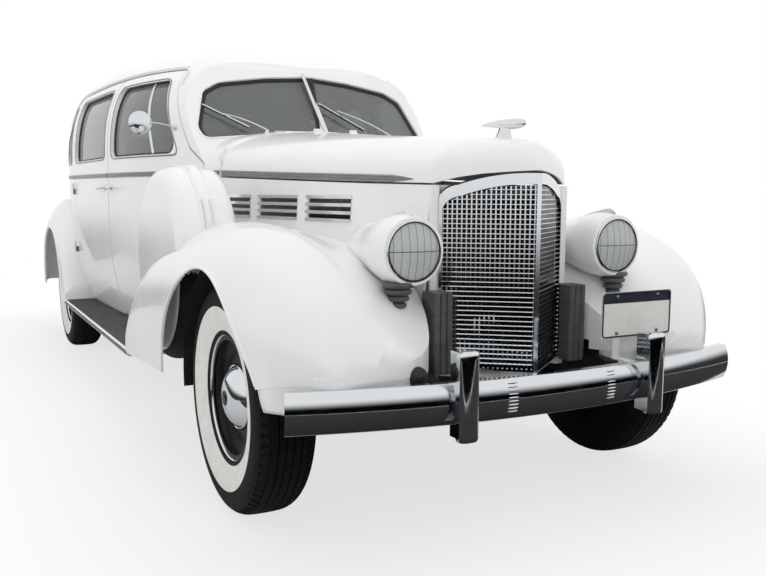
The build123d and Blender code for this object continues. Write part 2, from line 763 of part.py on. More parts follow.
# ---------------------------------------------------------------- lamps
lamp_x = 401
lamp_y = front_axle - 474
lamp_z = 893
lamp_r = 106
lens_r = 90
lens_bulge = 20
lens_curve = (lens_r ** 2 + lens_bulge ** 2) / (2 * lens_bulge)
pod_length = 400
lens_seat = 14                  # depth of the lens in its rim
lens_glass = 5
bowl_r = 80                     # reflector bowl behind the lens
bowl_depth = 95
with BuildPart() as headlamp_shells:
    with BuildSketch(Plane.XY.offset(lamp_z)):
        with BuildLine():
            Line((lamp_x + bowl_r, lamp_y + lens_seat), (lamp_x + lens_r + seat_gap, lamp_y + lens_seat))
            Line((lamp_x + lens_r + seat_gap, lamp_y + lens_seat), (lamp_x + lens_r + seat_gap, lamp_y))
            Line((lamp_x + lens_r + seat_gap, lamp_y), (lamp_x + lamp_r - 3, lamp_y + 2))
            Spline(
                (lamp_x + lamp_r - 3, lamp_y + 2), (lamp_x + lamp_r + 6, lamp_y + 60),
                (lamp_x + 84, lamp_y + 220), (lamp_x + 6, lamp_y + pod_length),
                tangents=[(0.3, 1), (-1, 0.7)],
            )
            Line((lamp_x + 6, lamp_y + pod_length), (lamp_x, lamp_y + pod_length))
            Line((lamp_x, lamp_y + pod_length), (lamp_x, lamp_y + bowl_depth))
            Line((lamp_x, lamp_y + bowl_depth), (lamp_x + 22, lamp_y + bowl_depth))
            ThreePointArc((lamp_x + 22, lamp_y + bowl_depth), (lamp_x + 62, lamp_y + 0.62 * bowl_depth),
                          (lamp_x + bowl_r, lamp_y + lens_seat))
        make_face()
    revolve(axis=Axis((lamp_x, lamp_y, lamp_z), (0, 1, 0)))
    mirror(about=Plane.YZ)
save(headlamp_shells.part, "headlamp_shells")

with BuildPart() as headlamp_lenses:
    with BuildSketch(Plane.XY.offset(lamp_z)):
        with BuildLine():
            inner_x = lamp_x + lens_r - lens_glass
            Line((inner_x, lamp_y + lens_seat), (lamp_x + lens_r, lamp_y + lens_seat))
            Line((lamp_x + lens_r, lamp_y + lens_seat), (lamp_x + lens_r, lamp_y))
            RadiusArc((lamp_x + lens_r, lamp_y), (lamp_x, lamp_y - lens_bulge), lens_curve)
            Line((lamp_x, lamp_y - lens_bulge), (lamp_x, lamp_y - lens_bulge + lens_glass))
            RadiusArc((lamp_x, lamp_y - lens_bulge + lens_glass), (inner_x, lamp_y + lens_glass),
                      -lens_curve)
            Line((inner_x, lamp_y + lens_glass), (inner_x, lamp_y + lens_seat))
        make_face()
    revolve(axis=Axis((lamp_x, lamp_y, lamp_z), (0, 1, 0)))
    mirror(about=Plane.YZ)
save(headlamp_lenses.part, "headlamp_lenses")

# ribbed stalk under each lamp, tapering down to the flank of the fender
stalk_x = lamp_x + 30
stalk_y = lamp_y + 44
stalk_top_z = 800
stalk_r = 50
stalk_ribs = 5
rib_height = 21
rib_step = 8                    # how much narrower each rib is than the one above
stalk_low_z = stalk_top_z - stalk_ribs * rib_height
with BuildPart() as headlamp_brackets:
    with BuildSketch(Plane.XZ.offset(-stalk_y)):
        with BuildLine():
            for rib in range(stalk_ribs):
                r = stalk_r - rib * rib_step
                z = stalk_top_z - rib * rib_height
                Line((stalk_x + r - rib_step, z), (stalk_x + r - 3, z - 3))
                ThreePointArc((stalk_x + r - 3, z - 3), (stalk_x + r, z - rib_height / 2),
                              (stalk_x + r - 4, z - rib_height + 4))
                Line((stalk_x + r - 4, z - rib_height + 4), (stalk_x + r - 2 * rib_step, z - rib_height))
            Polyline((stalk_x + stalk_r - (stalk_ribs + 1) * rib_step, stalk_low_z),
                     (stalk_x, stalk_low_z - 12), (stalk_x, stalk_top_z),
                     (stalk_x + stalk_r - rib_step, stalk_top_z))
        make_face()
    revolve(axis=Axis((stalk_x, stalk_y, stalk_top_z), (0, 0, -1)))
    add(headlamp_shells.part, mode=Mode.SUBTRACT)
    mirror(about=Plane.YZ)
save(headlamp_brackets.part, "headlamp_brackets")

# ---------------------------------------------------------------- fenders
spare_x = (664, 896)            # inner and outer faces of the spare wheel covers
spare_r = 385
spare_y = front_axle + 736
spare_z = 785


def fender_shell(stations):
    """Left fender: pressed sheet with an open underside and a round wheel opening."""
    with BuildPart() as fender:
        loft(sections=[fender_section(s, 0, 0) for s in stations])
    with BuildPart() as hollow:
        inner = [(stations[0][0] + sheet, *stations[0][1:])] + stations[1:-1]
        inner.append((stations[-1][0] - sheet, *stations[-1][1:]))
        loft(sections=[fender_section(s, sheet, 80) for s in inner])
    with BuildPart() as skin:
        add(fender.part)
        add(hollow.part, mode=Mode.SUBTRACT)
    return skin.part


side_solid_sections = []
for back, waist, crown, belt in side_stations:
    low = waist + side_flare + 1
    with BuildSketch(Plane.XZ.offset(-(front_axle + back))) as side_solid_section:
        with BuildLine():
            Polyline((0, belt), (waist + 1, belt), (low, side_low_z), (low, 300), (0, 300), close=True)
        make_face()
    side_solid_sections.append(side_solid_section.sketch)
with BuildPart() as engine_bay:
    loft(sections=side_solid_sections, ruled=True)
with BuildPart() as spare_well:
    add(cross_tube(spare_r + 1, spare_x[0] - 1, spare_x[1] + 1, spare_y, spare_z))
with BuildPart() as cabin_front:
    add(cabin_solid)
    add(block(0, 1000, hood_back, door_front + 40, 300, 1200), mode=Mode.INTERSECT)
with BuildPart() as front_fenders:
    add(fender_shell(front_fender_stations))
    add(cross_tube(arch_r, 780, 1000, front_axle, tyre_r), mode=Mode.SUBTRACT)
    add(engine_bay.part, mode=Mode.SUBTRACT)
    add(block(200, 560, front_axle - 330, front_axle + 1200, 300, side_low_z), mode=Mode.SUBTRACT)
    add(block(200, 410, front_axle - 720, front_axle - 430, 300, 530), mode=Mode.SUBTRACT)
    add(block(200, 410, front_axle - 430, front_axle - 325, 300, 562), mode=Mode.SUBTRACT)
    add(spare_well.part, mode=Mode.SUBTRACT)
    add(headlamp_shells.part, mode=Mode.SUBTRACT)
    add(headlamp_brackets.part, mode=Mode.SUBTRACT)
    add(cabin_front.part, mode=Mode.SUBTRACT)
    mirror(about=Plane.YZ)
save(front_fenders.part, "front_fenders")

# ---------------------------------------------------------------- rear fenders and running boards
with BuildPart() as rear_fenders:
    add(fender_shell(rear_fender_stations))
    add(cross_tube(arch_r, 600, 1000, rear_axle, tyre_r), mode=Mode.SUBTRACT)
    add(cabin_solid, mode=Mode.SUBTRACT)
    mirror(about=Plane.YZ)
save(rear_fenders.part, "rear_fenders")

board_y = (front_axle + 1106, front_axle + 3044)
board_outer_x = 956
board_z = (skirt_z, 384)
board_inner = [
    (0.918 * waist + 3, front_axle + back) for back, waist, roof_height in cabin_stations
    if board_y[0] < front_axle + back < board_y[1]
]
board_foot = (board_inner[0][0] - 21, board_y[0])
board_end = (board_inner[-1][0] - 4, board_y[1])
with BuildPart() as running_boards:
    with BuildSketch(Plane.XY.offset(board_z[0])):
        with BuildLine():
            Spline(board_foot, *board_inner, board_end)
            Polyline(board_end, (board_outer_x, board_y[1]), (board_outer_x, board_y[0]), board_foot)
        make_face()
    extrude(amount=board_z[1] - board_z[0])
    fillet(running_boards.edges().filter_by(Axis.Y).sort_by(Axis.X)[-2:], 14)
    mirror(about=Plane.YZ)
save(running_boards.part, "running_boards")

# ---------------------------------------------------------------- spare wheel covers
with BuildPart() as spare_covers:
    with BuildSketch(Plane.YZ.offset(spare_x[0])):
        with Locations((spare_y, spare_z)):
            Circle(spare_r)
    extrude(amount=spare_x[1] - spare_x[0])
    fillet(spare_covers.edges().sort_by(Axis.X)[-1], 70)
    fillet(spare_covers.edges().sort_by(Axis.X)[0], 40)
    mirror(about=Plane.YZ)
save(spare_covers.part, "spare_covers")

# ---------------------------------------------------------------- bumpers
bar_low_z = 402
bar_high_z = 526
bar_half = 862
bar_thickness = 42
bar_bow = 130                   # how far the ends stand back from the middle
bar_crown = 16                  # bulge of the face of the bar
bar_skin = 5
bar_radius = (bar_half ** 2 + bar_bow ** 2) / (2 * bar_bow)
bar_sweep = degrees(asin(bar_half / bar_radius))


def bumper(front_y, sign, frame_end, hanger_z):
    """Bowed channel, two upright guards and its arms; sign is -1 at the front, 1 behind."""
    start = Vector(0, sign, 0).rotate(Axis.Z, -bar_sweep)
    across = start.cross(Vector(0, 0, 1))
    axis = Axis((0, front_y - sign * bar_radius, 0), (0, 0, 1))
    middle_z = (bar_low_z + bar_high_z) / 2
    with BuildPart() as channel:
        for skin, mode in ((0, Mode.ADD), (bar_skin, Mode.SUBTRACT)):
            r = bar_radius - skin
            brow = r - bar_crown
            back = r - bar_thickness
            low = bar_low_z + skin
            high = bar_high_z - skin
            with BuildSketch(Plane(origin=axis.position, x_dir=start, z_dir=across)) as section:
                with BuildLine():
                    ThreePointArc((brow, low), (r, middle_z), (brow, high))
                    Polyline((brow, high), (back, high), (back, low), (brow, low))
                make_face()
                fillet(section.vertices().sort_by(Axis.X)[-2:], 9)
            revolve(axis=axis, revolution_arc=2 * bar_sweep, mode=mode)
    with BuildPart() as bar:
        add(channel.part)
        for x in (-guard_x, guard_x):
            y = front_y + sign * guard_stand
            with BuildSketch(Plane.XY.offset(guard_low_z)) as plan:
                with BuildLine():
                    Polyline((x - 22, y - sign * 66), (x - 22, y - sign * 14), (x - 9, y), (x + 9, y),
                             (x + 22, y - sign * 14), (x + 22, y - sign * 66), close=True)
                make_face()
            extrude(amount=guard_high_z - guard_low_z)
        arm_foot = front_y - sign * 26
        arm_end = frame_end + sign * 16
        for x in (-rail_x, rail_x):
            add(block(x - 25, x + 25, min(arm_foot, arm_end), max(arm_foot, arm_end), 432, 472))
            add(block(x - 25, x + 25, min(frame_end, arm_end), max(frame_end, arm_end), 432, hanger_z))
    return bar.part


guard_x = 359
guard_low_z = 367
guard_high_z = 620
frame_front = front_axle - 520
frame_back = front_axle + 4560
guard_stand = 11                # guards in front of the bar
front_bar_y = -car_length / 2 + guard_stand
rear_bar_y = car_length / 2 - guard_stand
save(bumper(front_bar_y, -1, frame_front, 480), "front_bumper")
save(bumper(rear_bar_y, 1, frame_back, 600), "rear_bumper")

# ---------------------------------------------------------------- frame
rail_low_z = 420
kick = 70                       # rise of the frame over the rear axle
rail_outline = [
    (frame_front, rail_low_z), (frame_front, rail_low_z + 80), (front_axle - 250, floor_z),
    (rear_axle - 470, floor_z), (rear_axle - 400, floor_z + kick), (frame_back, floor_z + kick),
    (frame_back, floor_z + kick - 110),
    (rear_axle + 420, floor_z - 40), (rear_axle - 380, floor_z - 40), (rear_axle - 640, rail_low_z),
]
cross_members = [
    (front_axle - 470, 400, 462), (front_axle + 100, 430, 500), (front_axle + 780, 430, 500),
    (front_axle + 1700, 425, 444), (rear_axle - 700, 480, 560), (rear_axle - 330, 575, 635),
    (rear_axle + 330, 575, 635), (frame_back - 40, 575, 635),
]
outrigger_y = (front_axle + 1250, front_axle + 2090, front_axle + 2900)
jack_pad_y = (front_axle + 500, rear_axle - 900)
jack_pad = 6                    # flat pads under the side rails
with BuildPart() as chassis_frame:
    add(side_prism(rail_outline, rail_x - rail_width / 2, rail_x + rail_width / 2))
    mirror(about=Plane.YZ)
    for y, low, high in cross_members:
        add(block(rail_width / 2 - rail_x, rail_x - rail_width / 2, y - 35, y + 35, low, high))
    for y in outrigger_y:
        for side in (-1, 1):
            add(block(side * (rail_x - 30), side * 900, y - 30, y + 30, skirt_z - 24, skirt_z))
            add(block(side * (rail_x - 12), side * (rail_x + 12), y - 30, y + 30, skirt_z, rail_low_z))
    for y in jack_pad_y:
        for side in (-1, 1):
            add(block(side * (rail_x - 30), side * (rail_x + 30), y - 45, y + 45,
                      rail_low_z - jack_pad, rail_low_z))
save(chassis_frame.part, "chassis_frame")

with BuildPart() as engine:
    add(block(-240, 240, front_axle + 40, front_axle + 860, 500, 990))
    add(block(-110, 110, front_axle + 860, front_axle + 1440, 440, 560))
save(engine.part, "engine")

# ---------------------------------------------------------------- running gear
spindle_r = 20
bore_r = spindle_r + 0.05
spindle_end = 57
drum_r = 150
arm_half = 18
with BuildPart() as front_suspension:
    add(block(-390, 390, front_axle - 60, front_axle + 30, 360, rail_low_z))
    for side in (-1, 1):
        for root_x, z in ((300, 282), (rail_x + rail_width / 2, 502)):
            add(block(side * root_x, side * (kingpin_x + 18), front_axle - arm_half, front_axle + arm_half,
                      z, z + 26))
        add(block(side * 300, side * 330, front_axle - 60, front_axle + 30, 282, rail_low_z))
save(front_suspension.part, "front_suspension")


def knuckle(side):
    """Upright with its king pin and wheel spindle."""
    outer = front_track / 2 + spindle_end
    with BuildPart() as upright:
        with Locations((side * kingpin_x, front_axle, (308.3 + 501.7) / 2)):
            Cylinder(17, 501.7 - 308.3)
        add(cross_tube(spindle_r, min(side * kingpin_x, side * outer), max(side * kingpin_x, side * outer),
                       front_axle, tyre_r))
        with Locations((side * (kingpin_x + 8), front_axle, tyre_r)):
            Cylinder(34, 24, rotation=(0, 90, 0))
    return upright.part


save(knuckle(1), "knuckle_left")
save(knuckle(-1), "knuckle_right")

axle_half = rear_track / 2
spring_reach = 640
spring_front = rear_axle - spring_reach
spring_back = rear_axle + spring_reach
axle_end = axle_half + spindle_end
spring_x = 520
with BuildPart() as rear_axle_part:
    with BuildSketch(Plane.XY.offset(tyre_r)):
        with BuildLine():
            Polyline((0, rear_axle), (axle_end, rear_axle), (axle_end, rear_axle + spindle_r),
                     (axle_half - 40, rear_axle + spindle_r), (axle_half - 40, rear_axle + 45),
                     (150, rear_axle + 45),
                     (110, rear_axle + 110), (40, rear_axle + 145), (0, rear_axle + 145), close=True)
        make_face()
    revolve(axis=Axis((0, rear_axle, tyre_r), (1, 0, 0)))
    mirror(about=Plane.YZ)
    with Locations((0, rear_axle - 120, tyre_r)):
        Cylinder(45, 140, rotation=(90, 0, 0))
with BuildPart() as leaf_spring:
    with BuildSketch(Plane.YZ.offset(spring_x - 30)):
        with BuildLine():
            ThreePointArc((spring_front, 410), (rear_axle, 345), (spring_back, 410))
            Line((spring_back, 410), (spring_back, 450))
            ThreePointArc((spring_back, 450), (rear_axle, 385), (spring_front, 450))
            Line((spring_front, 450), (spring_front, 410))
        make_face()
    extrude(amount=60)
    for y in (spring_front + 20, spring_back - 20):
        add(cross_tube(16, rail_x + rail_width / 2, spring_x, y, 430))
    add(block(rail_x + rail_width / 2, rail_x + rail_width / 2 + 10, spring_back - 50, spring_back - 10,
              412, 570))
with BuildPart() as rear_axle_set:
    add(rear_axle_part.part)
    add(leaf_spring.part)
    add(mirror(leaf_spring.part, about=Plane.YZ, mode=Mode.PRIVATE))
save(rear_axle_set.part, "rear_axle")

shaft_start = Vector(0, front_axle + 1440, 500)
shaft_end = Vector(0, rear_axle - 190, tyre_r)
shaft_line = shaft_end - shaft_start
end_clearance = 2.2
with BuildPart() as propeller_shaft:
    with BuildSketch(Plane(origin=shaft_start + shaft_line.normalized() * end_clearance, z_dir=shaft_line)):
        Circle(32)
    extrude(amount=shaft_line.length - 2 * end_clearance)
save(propeller_shaft.part, "propeller_shaft")


def tyre_at(x, y):
    """Balloon tyre: crowned tread, round shoulders and bulging walls down to its beads."""
    bead = (bead_half, y + bead_r)
    flank = (bead_half + 12, y + bead_r + 9)
    shoulder = (tread_half + 13, y + tyre_r - 22)
    edge = (tread_half, y + tyre_r - 7)
    half = tyre_width / 2
    with BuildPart() as tyre:
        with BuildSketch(Plane.XY.offset(tyre_r)):
            with BuildLine():
                for side in (-1, 1):
                    Line((x, bead[1]), (x + side * bead[0], bead[1]))
                    Line((x + side * bead[0], bead[1]), (x + side * flank[0], flank[1]))
                    ThreePointArc((x + side * flank[0], flank[1]),
                                  (x + side * half, (flank[1] + shoulder[1]) / 2),
                                  (x + side * shoulder[0], shoulder[1]))
                    Line((x + side * shoulder[0], shoulder[1]), (x + side * edge[0], edge[1]))
                ThreePointArc((x - edge[0], edge[1]), (x, y + tyre_r), (x + edge[0], edge[1]))
            make_face()
        revolve(axis=Axis((x, y, tyre_r), (1, 0, 0)))
    return tyre.part


def wheel_at(x, y, side):
    """Rim, dished disc, brake drum and domed hub cap, bored for its spindle."""
    with BuildPart() as wheel:
        with BuildSketch(Plane.XY.offset(tyre_r)):
            with BuildLine():
                Polyline(
                    (x + side * 66, y + rim_r - 26), (x + side * 66, y + rim_r),
                    (x + side * 60, y + rim_r - 2), (x + side * 48, y + bead_r - seat_gap),
                    (x - side * 48, y + bead_r - seat_gap), (x - side * 60, y + rim_r - 2),
                    (x - side * 66, y + rim_r), (x - side * 66, y + rim_r - 22),
                    (x - side * 48, y + bead_r - 10),
                    (x + side * 10, y + bead_r - 14), (x + side * 12, y + drum_r),
                    (x - side * 14, y + drum_r), (x - side * 14, y + bore_r), (x + side * 60, y + bore_r),
                    (x + side * 60, y + 50), (x + side * 34, y + 110), (x + side * 20, y + 160),
                    (x + side * 36, y + bead_r - 16), (x + side * 56, y + bead_r - 12), close=True,
                )
            make_face()
        revolve(axis=Axis((x, y, tyre_r), (1, 0, 0)))
        with BuildSketch(Plane.XY.offset(tyre_r)):
            with BuildLine():
                Line((x + side * 60, y), (x + side * 86, y))
                Spline((x + side * 86, y), (x + side * 76, y + 66), (x + side * 34, y + 110),
                       tangents=[(0, 1), (-side, 0.5)])
                Polyline((x + side * 34, y + 110), (x + side * 60, y + 50), (x + side * 60, y))
            make_face()
        revolve(axis=Axis((x, y, tyre_r), (1, 0, 0)))
    return wheel.part


for place, axle_y, track in (("front", front_axle, front_track), ("rear", rear_axle, rear_track)):
    for name, side in (("left", 1), ("right", -1)):
        save(tyre_at(side * track / 2, axle_y), f"tyre_{place}_{name}")
        save(wheel_at(side * track / 2, axle_y, side), f"wheel_{place}_{name}")

with BuildPart() as exhaust:
    with BuildLine() as route:
        Polyline(
            (-250, front_axle + 900, 395), (-250, rear_axle - 420, 380), (-250, rear_axle - 190, 500),
            (-250, rear_axle + 170, 500), (-250, rear_axle + 420, 370), (-250, tail - 40, 345),
        )
    with BuildSketch(Plane(origin=route.line @ 0, z_dir=route.line % 0)):
        Circle(26)
    sweep(transition=Transition.ROUND)
    with Locations((-250, front_axle + 2250, 388)):
        Cylinder(62, 560, rotation=(90, 0, 0))
    add(block(-262, -238, front_axle + 1690, front_axle + 1710, 400, 425))
save(exhaust.part, "exhaust")

with BuildPart() as fuel_tank:
    add(block(-180, 320, rear_axle + 320, rear_axle + 860, 410, 575))
    fillet(fuel_tank.edges().filter_by(Axis.Y), 40)
save(fuel_tank.part, "fuel_tank")

# ---------------------------------------------------------------- cabin fittings


def bench(half, front_y, cushion_z, back_top):
    with BuildPart() as seat:
        add(side_prism([
            (front_y, floor_top), (front_y, cushion_z), (front_y + 480, cushion_z - 30),
            (front_y + 580, back_top), (front_y + 690, back_top), (front_y + 620, floor_top),
        ], -half, half, 40))
    return seat.part


save(bench(600, front_axle + 1560, 960, 1400), "front_seat")
with BuildPart() as rear_seat:
    add(side_prism([
        (front_axle + 2700, floor_top), (front_axle + 2700, 950), (front_axle + 3180, 925),
        (front_axle + 3300, 1420), (front_axle + 3420, 1420), (front_axle + 3360, rear_floor_top),
        (kick_y - 20, rear_floor_top), (kick_y - 20, floor_top),
    ], -620, 620))
save(rear_seat.part, "rear_seat")

with BuildPart() as dashboard:
    add(block(-470, 470, front_axle + 1200, front_axle + 1280, 1088, 1240))
    for x in (-300, 300):
        add(block(x - 20, x + 20, firewall_y + sheet, front_axle + 1200, 1092, 1132))
save(dashboard.part, "dashboard")

wheel_centre = (300, front_axle + 1430, 1165)
column_lean = radians(35)
column_line = Vector(0, cos(column_lean), sin(column_lean))
spoke_angles = (0, 120, 240)
with BuildPart() as steering_wheel:
    with BuildSketch(Plane(origin=wheel_centre, z_dir=column_line)):
        Circle(215)
        Circle(195, mode=Mode.SUBTRACT)
        for angle in spoke_angles:
            with Locations((100 * cos(radians(angle)), 100 * sin(radians(angle)))):
                Rectangle(200, 18, rotation=angle)
        Circle(35)
    extrude(amount=18)
    with BuildSketch(Plane(origin=wheel_centre, z_dir=-column_line)):
        Circle(20)
    extrude(amount=494)
save(steering_wheel.part, "steering_wheel")

# ---------------------------------------------------------------- plate and rear lamps
plate_width = 305
plate_height = 152
plate_x = 385
plate_y = front_axle - 600
plate_z = 672
plate_hole_spacing = (177.8, 120.65)
plate_hole_r = 3.5
with BuildPart() as number_plate:
    with Locations((plate_x, plate_y, plate_z)):
        Box(plate_width, 4, plate_height)
    with Locations(Location((plate_x, plate_y, plate_z), (90, 0, 0))):
        with GridLocations(*plate_hole_spacing, 2, 2):
            Cylinder(plate_hole_r, 10, mode=Mode.SUBTRACT)
    add(block(plate_x - 100, plate_x - 70, plate_y + 2, plate_y + 6, bar_high_z + seat_gap, plate_z))
    add(block(plate_x - 100, plate_x - 70, plate_y - 72, plate_y + 6, bar_high_z + seat_gap, bar_high_z + 4.3))
save(number_plate.part, "number_plate")

with BuildPart() as tail_lamps:
    with Locations((690, rear_axle + 560, 900)):
        Sphere(50)
    add(cabin_solid, mode=Mode.SUBTRACT)
    mirror(about=Plane.YZ)
save(tail_lamps.part, "tail_lamps")
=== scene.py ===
from math import cos, pi, radians, sin

import bmesh
import bpy
import numpy as np
from mathutils import Matrix, Vector
from mathutils.bvhtree import BVHTree


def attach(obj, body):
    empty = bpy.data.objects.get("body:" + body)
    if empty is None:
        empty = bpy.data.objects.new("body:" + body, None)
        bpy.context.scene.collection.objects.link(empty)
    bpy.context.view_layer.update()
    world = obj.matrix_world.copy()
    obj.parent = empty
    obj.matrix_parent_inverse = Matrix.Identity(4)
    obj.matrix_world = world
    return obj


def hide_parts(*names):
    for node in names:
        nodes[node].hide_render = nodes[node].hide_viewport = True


# Vintage sedan: finishes for the built frame, and the trim that is too fine for it.
# Metres, front of the car towards -Y, its left side towards +X.
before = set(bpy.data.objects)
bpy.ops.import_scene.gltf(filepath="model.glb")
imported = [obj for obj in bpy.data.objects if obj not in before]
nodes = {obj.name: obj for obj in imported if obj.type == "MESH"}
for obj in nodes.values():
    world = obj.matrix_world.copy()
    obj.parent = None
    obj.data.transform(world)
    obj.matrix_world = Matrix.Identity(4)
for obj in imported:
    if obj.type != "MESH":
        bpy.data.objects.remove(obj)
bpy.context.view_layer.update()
sides = {"left": 1, "right": -1}
frontAxle, rearAxle, axleHeight = -2.078, 1.51, 0.39
doorFront, doorSplit, doorBack = frontAxle + 1.116, frontAxle + 2.090, frontAxle + 3.030
far = 1.3                   # from here rays are cast inwards at the sides
mergeGap = 1e-5


def linearColour(hexText):
    # sRGB hex to linear: (c/12.92) near black, ((c+0.055)/1.055)^2.4 above
    c = np.array([int(hexText[i:i + 2], 16) for i in (1, 3, 5)]) / 255
    linear = np.where(c <= 0.04045, c / 12.92, ((c + 0.055) / 1.055) ** 2.4)
    return (*linear.tolist(), 1.0)


def addNode(tree, kind, inputs=None, **settings):
    # one node with its settings; an input is a number, a colour or another node's socket
    node = tree.nodes.new(kind)
    for key, value in settings.items():
        setattr(node, key, value)
    for key, value in (inputs or {}).items():
        if isinstance(value, bpy.types.NodeSocket):
            tree.links.new(value, node.inputs[key])
        else:
            node.inputs[key].default_value = value
    return node


def startMaterial(name, **sockets):
    # a material with one Principled shader, its constant sockets set by name
    material = bpy.data.materials.new(name)
    material.use_nodes = True
    shader = material.node_tree.nodes["Principled BSDF"]
    for key, value in sockets.items():
        label = key.replace("_", " ")
        shader.inputs[label].default_value = linearColour(value) if isinstance(value, str) else value
    return material, material.node_tree, shader


def objectNoise(tree, sizeMm, detail=2.0, stretch=(1, 1, 1)):
    # noise whose blobs are sizeMm across, stretched along the object's axes
    place = addNode(tree, "ShaderNodeTexCoord").outputs["Object"]
    turned = addNode(tree, "ShaderNodeMapping", {"Vector": place, "Scale": stretch}).outputs[0]
    return addNode(tree, "ShaderNodeTexNoise", {
        "Vector": turned, "Scale": 1000 / sizeMm, "Detail": detail}).outputs[0]


def spread(tree, value, low, high):
    # the noise's middle range stretched to low...high
    return addNode(tree, "ShaderNodeMapRange", {
        "Value": value, "From Min": 0.3, "From Max": 0.7, "To Min": low, "To Max": high}).outputs[0]


def tint(tree, value, dark, light):
    # colour between two hex values by a 0...1 value
    return addNode(tree, "ShaderNodeMix", {
        "Factor": value, 6: linearColour(dark), 7: linearColour(light)}, data_type="RGBA").outputs[2]


def roughen(tree, shader, height, strength, depthMm):
    # bump of a real depth on the shader's normal
    bump = addNode(tree, "ShaderNodeBump", {"Height": height, "Strength": strength, "Distance": depthMm / 1000})
    tree.links.new(bump.outputs[0], shader.inputs["Normal"])


def sprayedEnamel():
    # white cellulose enamel, sprayed and polished: bright, with a clear wet gloss and faint orange peel
    material, tree, shader = startMaterial(
        "whiteEnamel", Base_Color="#F6F6F5", Roughness=0.36, IOR=1.5, Coat_Weight=0.6, Coat_Roughness=0.08)
    dust = spread(tree, objectNoise(tree, 420, 3), 0, 1)
    tree.links.new(tint(tree, dust, "#F3F3F2", "#F9F9F8"), shader.inputs["Base Color"])
    tree.links.new(spread(tree, objectNoise(tree, 60, 3), 0.30, 0.42), shader.inputs["Roughness"])
    # orange peel is 3 mm across, drawn at 9 mm so that it shows
    roughen(tree, shader, objectNoise(tree, 9), 0.05, 0.04)
    return material


def brightMetal(name, colour, smoothest, roughest):
    # chrome or silver plate: a hard mirror, only lightly hazed by polishing
    material, tree, shader = startMaterial(name, Base_Color=colour, Metallic=1.0, Roughness=smoothest)
    tree.links.new(spread(tree, objectNoise(tree, 35, 4), smoothest, roughest), shader.inputs["Roughness"])
    roughen(tree, shader, objectNoise(tree, 70), 0.06, 0.2)
    return material


def brushedStainless():
    # rolled stainless strip, brushed along its length: softer and greyer than chrome
    material, tree, shader = startMaterial("brushedStainless", Base_Color="#8C8F92", Metallic=1.0, Roughness=0.28)
    grain = objectNoise(tree, 2, 2, (1, 0.02, 1))
    tree.links.new(spread(tree, grain, 0.2, 0.38), shader.inputs["Roughness"])
    roughen(tree, shader, grain, 0.1, 0.05)
    return material


def plateGlass(name="plateGlass", colour="#A9ADAE"):
    # old laminated plate glass: greyish, with a thin veil of haze over a dark cabin
    material, tree, shader = startMaterial(
        name, Base_Color=colour, Roughness=0.0, IOR=1.5, Transmission_Weight=0.74)
    tree.links.new(spread(tree, objectNoise(tree, 260, 2), 0.0, 0.03), shader.inputs["Roughness"])
    return material


def mouldedRubber(name, dark, light, roughness, grainMm, depthMm):
    # moulded rubber: matt, slightly uneven from its mould
    material, tree, shader = startMaterial(name, Base_Color=dark, Roughness=roughness, IOR=1.52)
    grain = objectNoise(tree, grainMm, 4)
    patches = spread(tree, objectNoise(tree, 40, 3), 0, 1)
    tree.links.new(tint(tree, patches, dark, light), shader.inputs["Base Color"])
    tree.links.new(spread(tree, grain, roughness - 0.08, roughness + 0.1), shader.inputs["Roughness"])
    roughen(tree, shader, grain, 0.25, depthMm)
    return material


def paintedMetal(name, dark, light, roughness, grainMm=14):
    # brushed-on or baked enamel over castings and pressings under the car
    material, tree, shader = startMaterial(name, Base_Color=dark, Roughness=roughness, IOR=1.5)
    wear = spread(tree, objectNoise(tree, 90, 5), 0, 1)
    tree.links.new(tint(tree, wear, dark, light), shader.inputs["Base Color"])
    rough = spread(tree, objectNoise(tree, 30, 3), roughness - 0.1, roughness + 0.12)
    tree.links.new(rough, shader.inputs["Roughness"])
    roughen(tree, shader, objectNoise(tree, grainMm, 4), 0.2, 0.2)
    return material


def wovenCloth(name, dark, light):
    # wool broadcloth: a fine weave with nap, threads 1 mm apart drawn at 3 mm
    material, tree, shader = startMaterial(
        name, Base_Color=dark, Roughness=0.9, Sheen_Weight=0.35, Sheen_Roughness=0.5)
    place = addNode(tree, "ShaderNodeTexCoord").outputs["Object"]
    warp = addNode(tree, "ShaderNodeTexWave", {"Vector": place, "Scale": 1000 / 3 / 6.3, "Distortion": 0.6},
                   bands_direction="X").outputs[1]
    weft = addNode(tree, "ShaderNodeTexWave", {"Vector": place, "Scale": 1000 / 3 / 6.3, "Distortion": 0.6},
                   bands_direction="DIAGONAL").outputs[1]
    weave = addNode(tree, "ShaderNodeMath", {0: warp, 1: weft}, operation="MULTIPLY").outputs[0]
    tree.links.new(tint(tree, weave, dark, light), shader.inputs["Base Color"])
    roughen(tree, shader, weave, 0.3, 0.4)
    return material


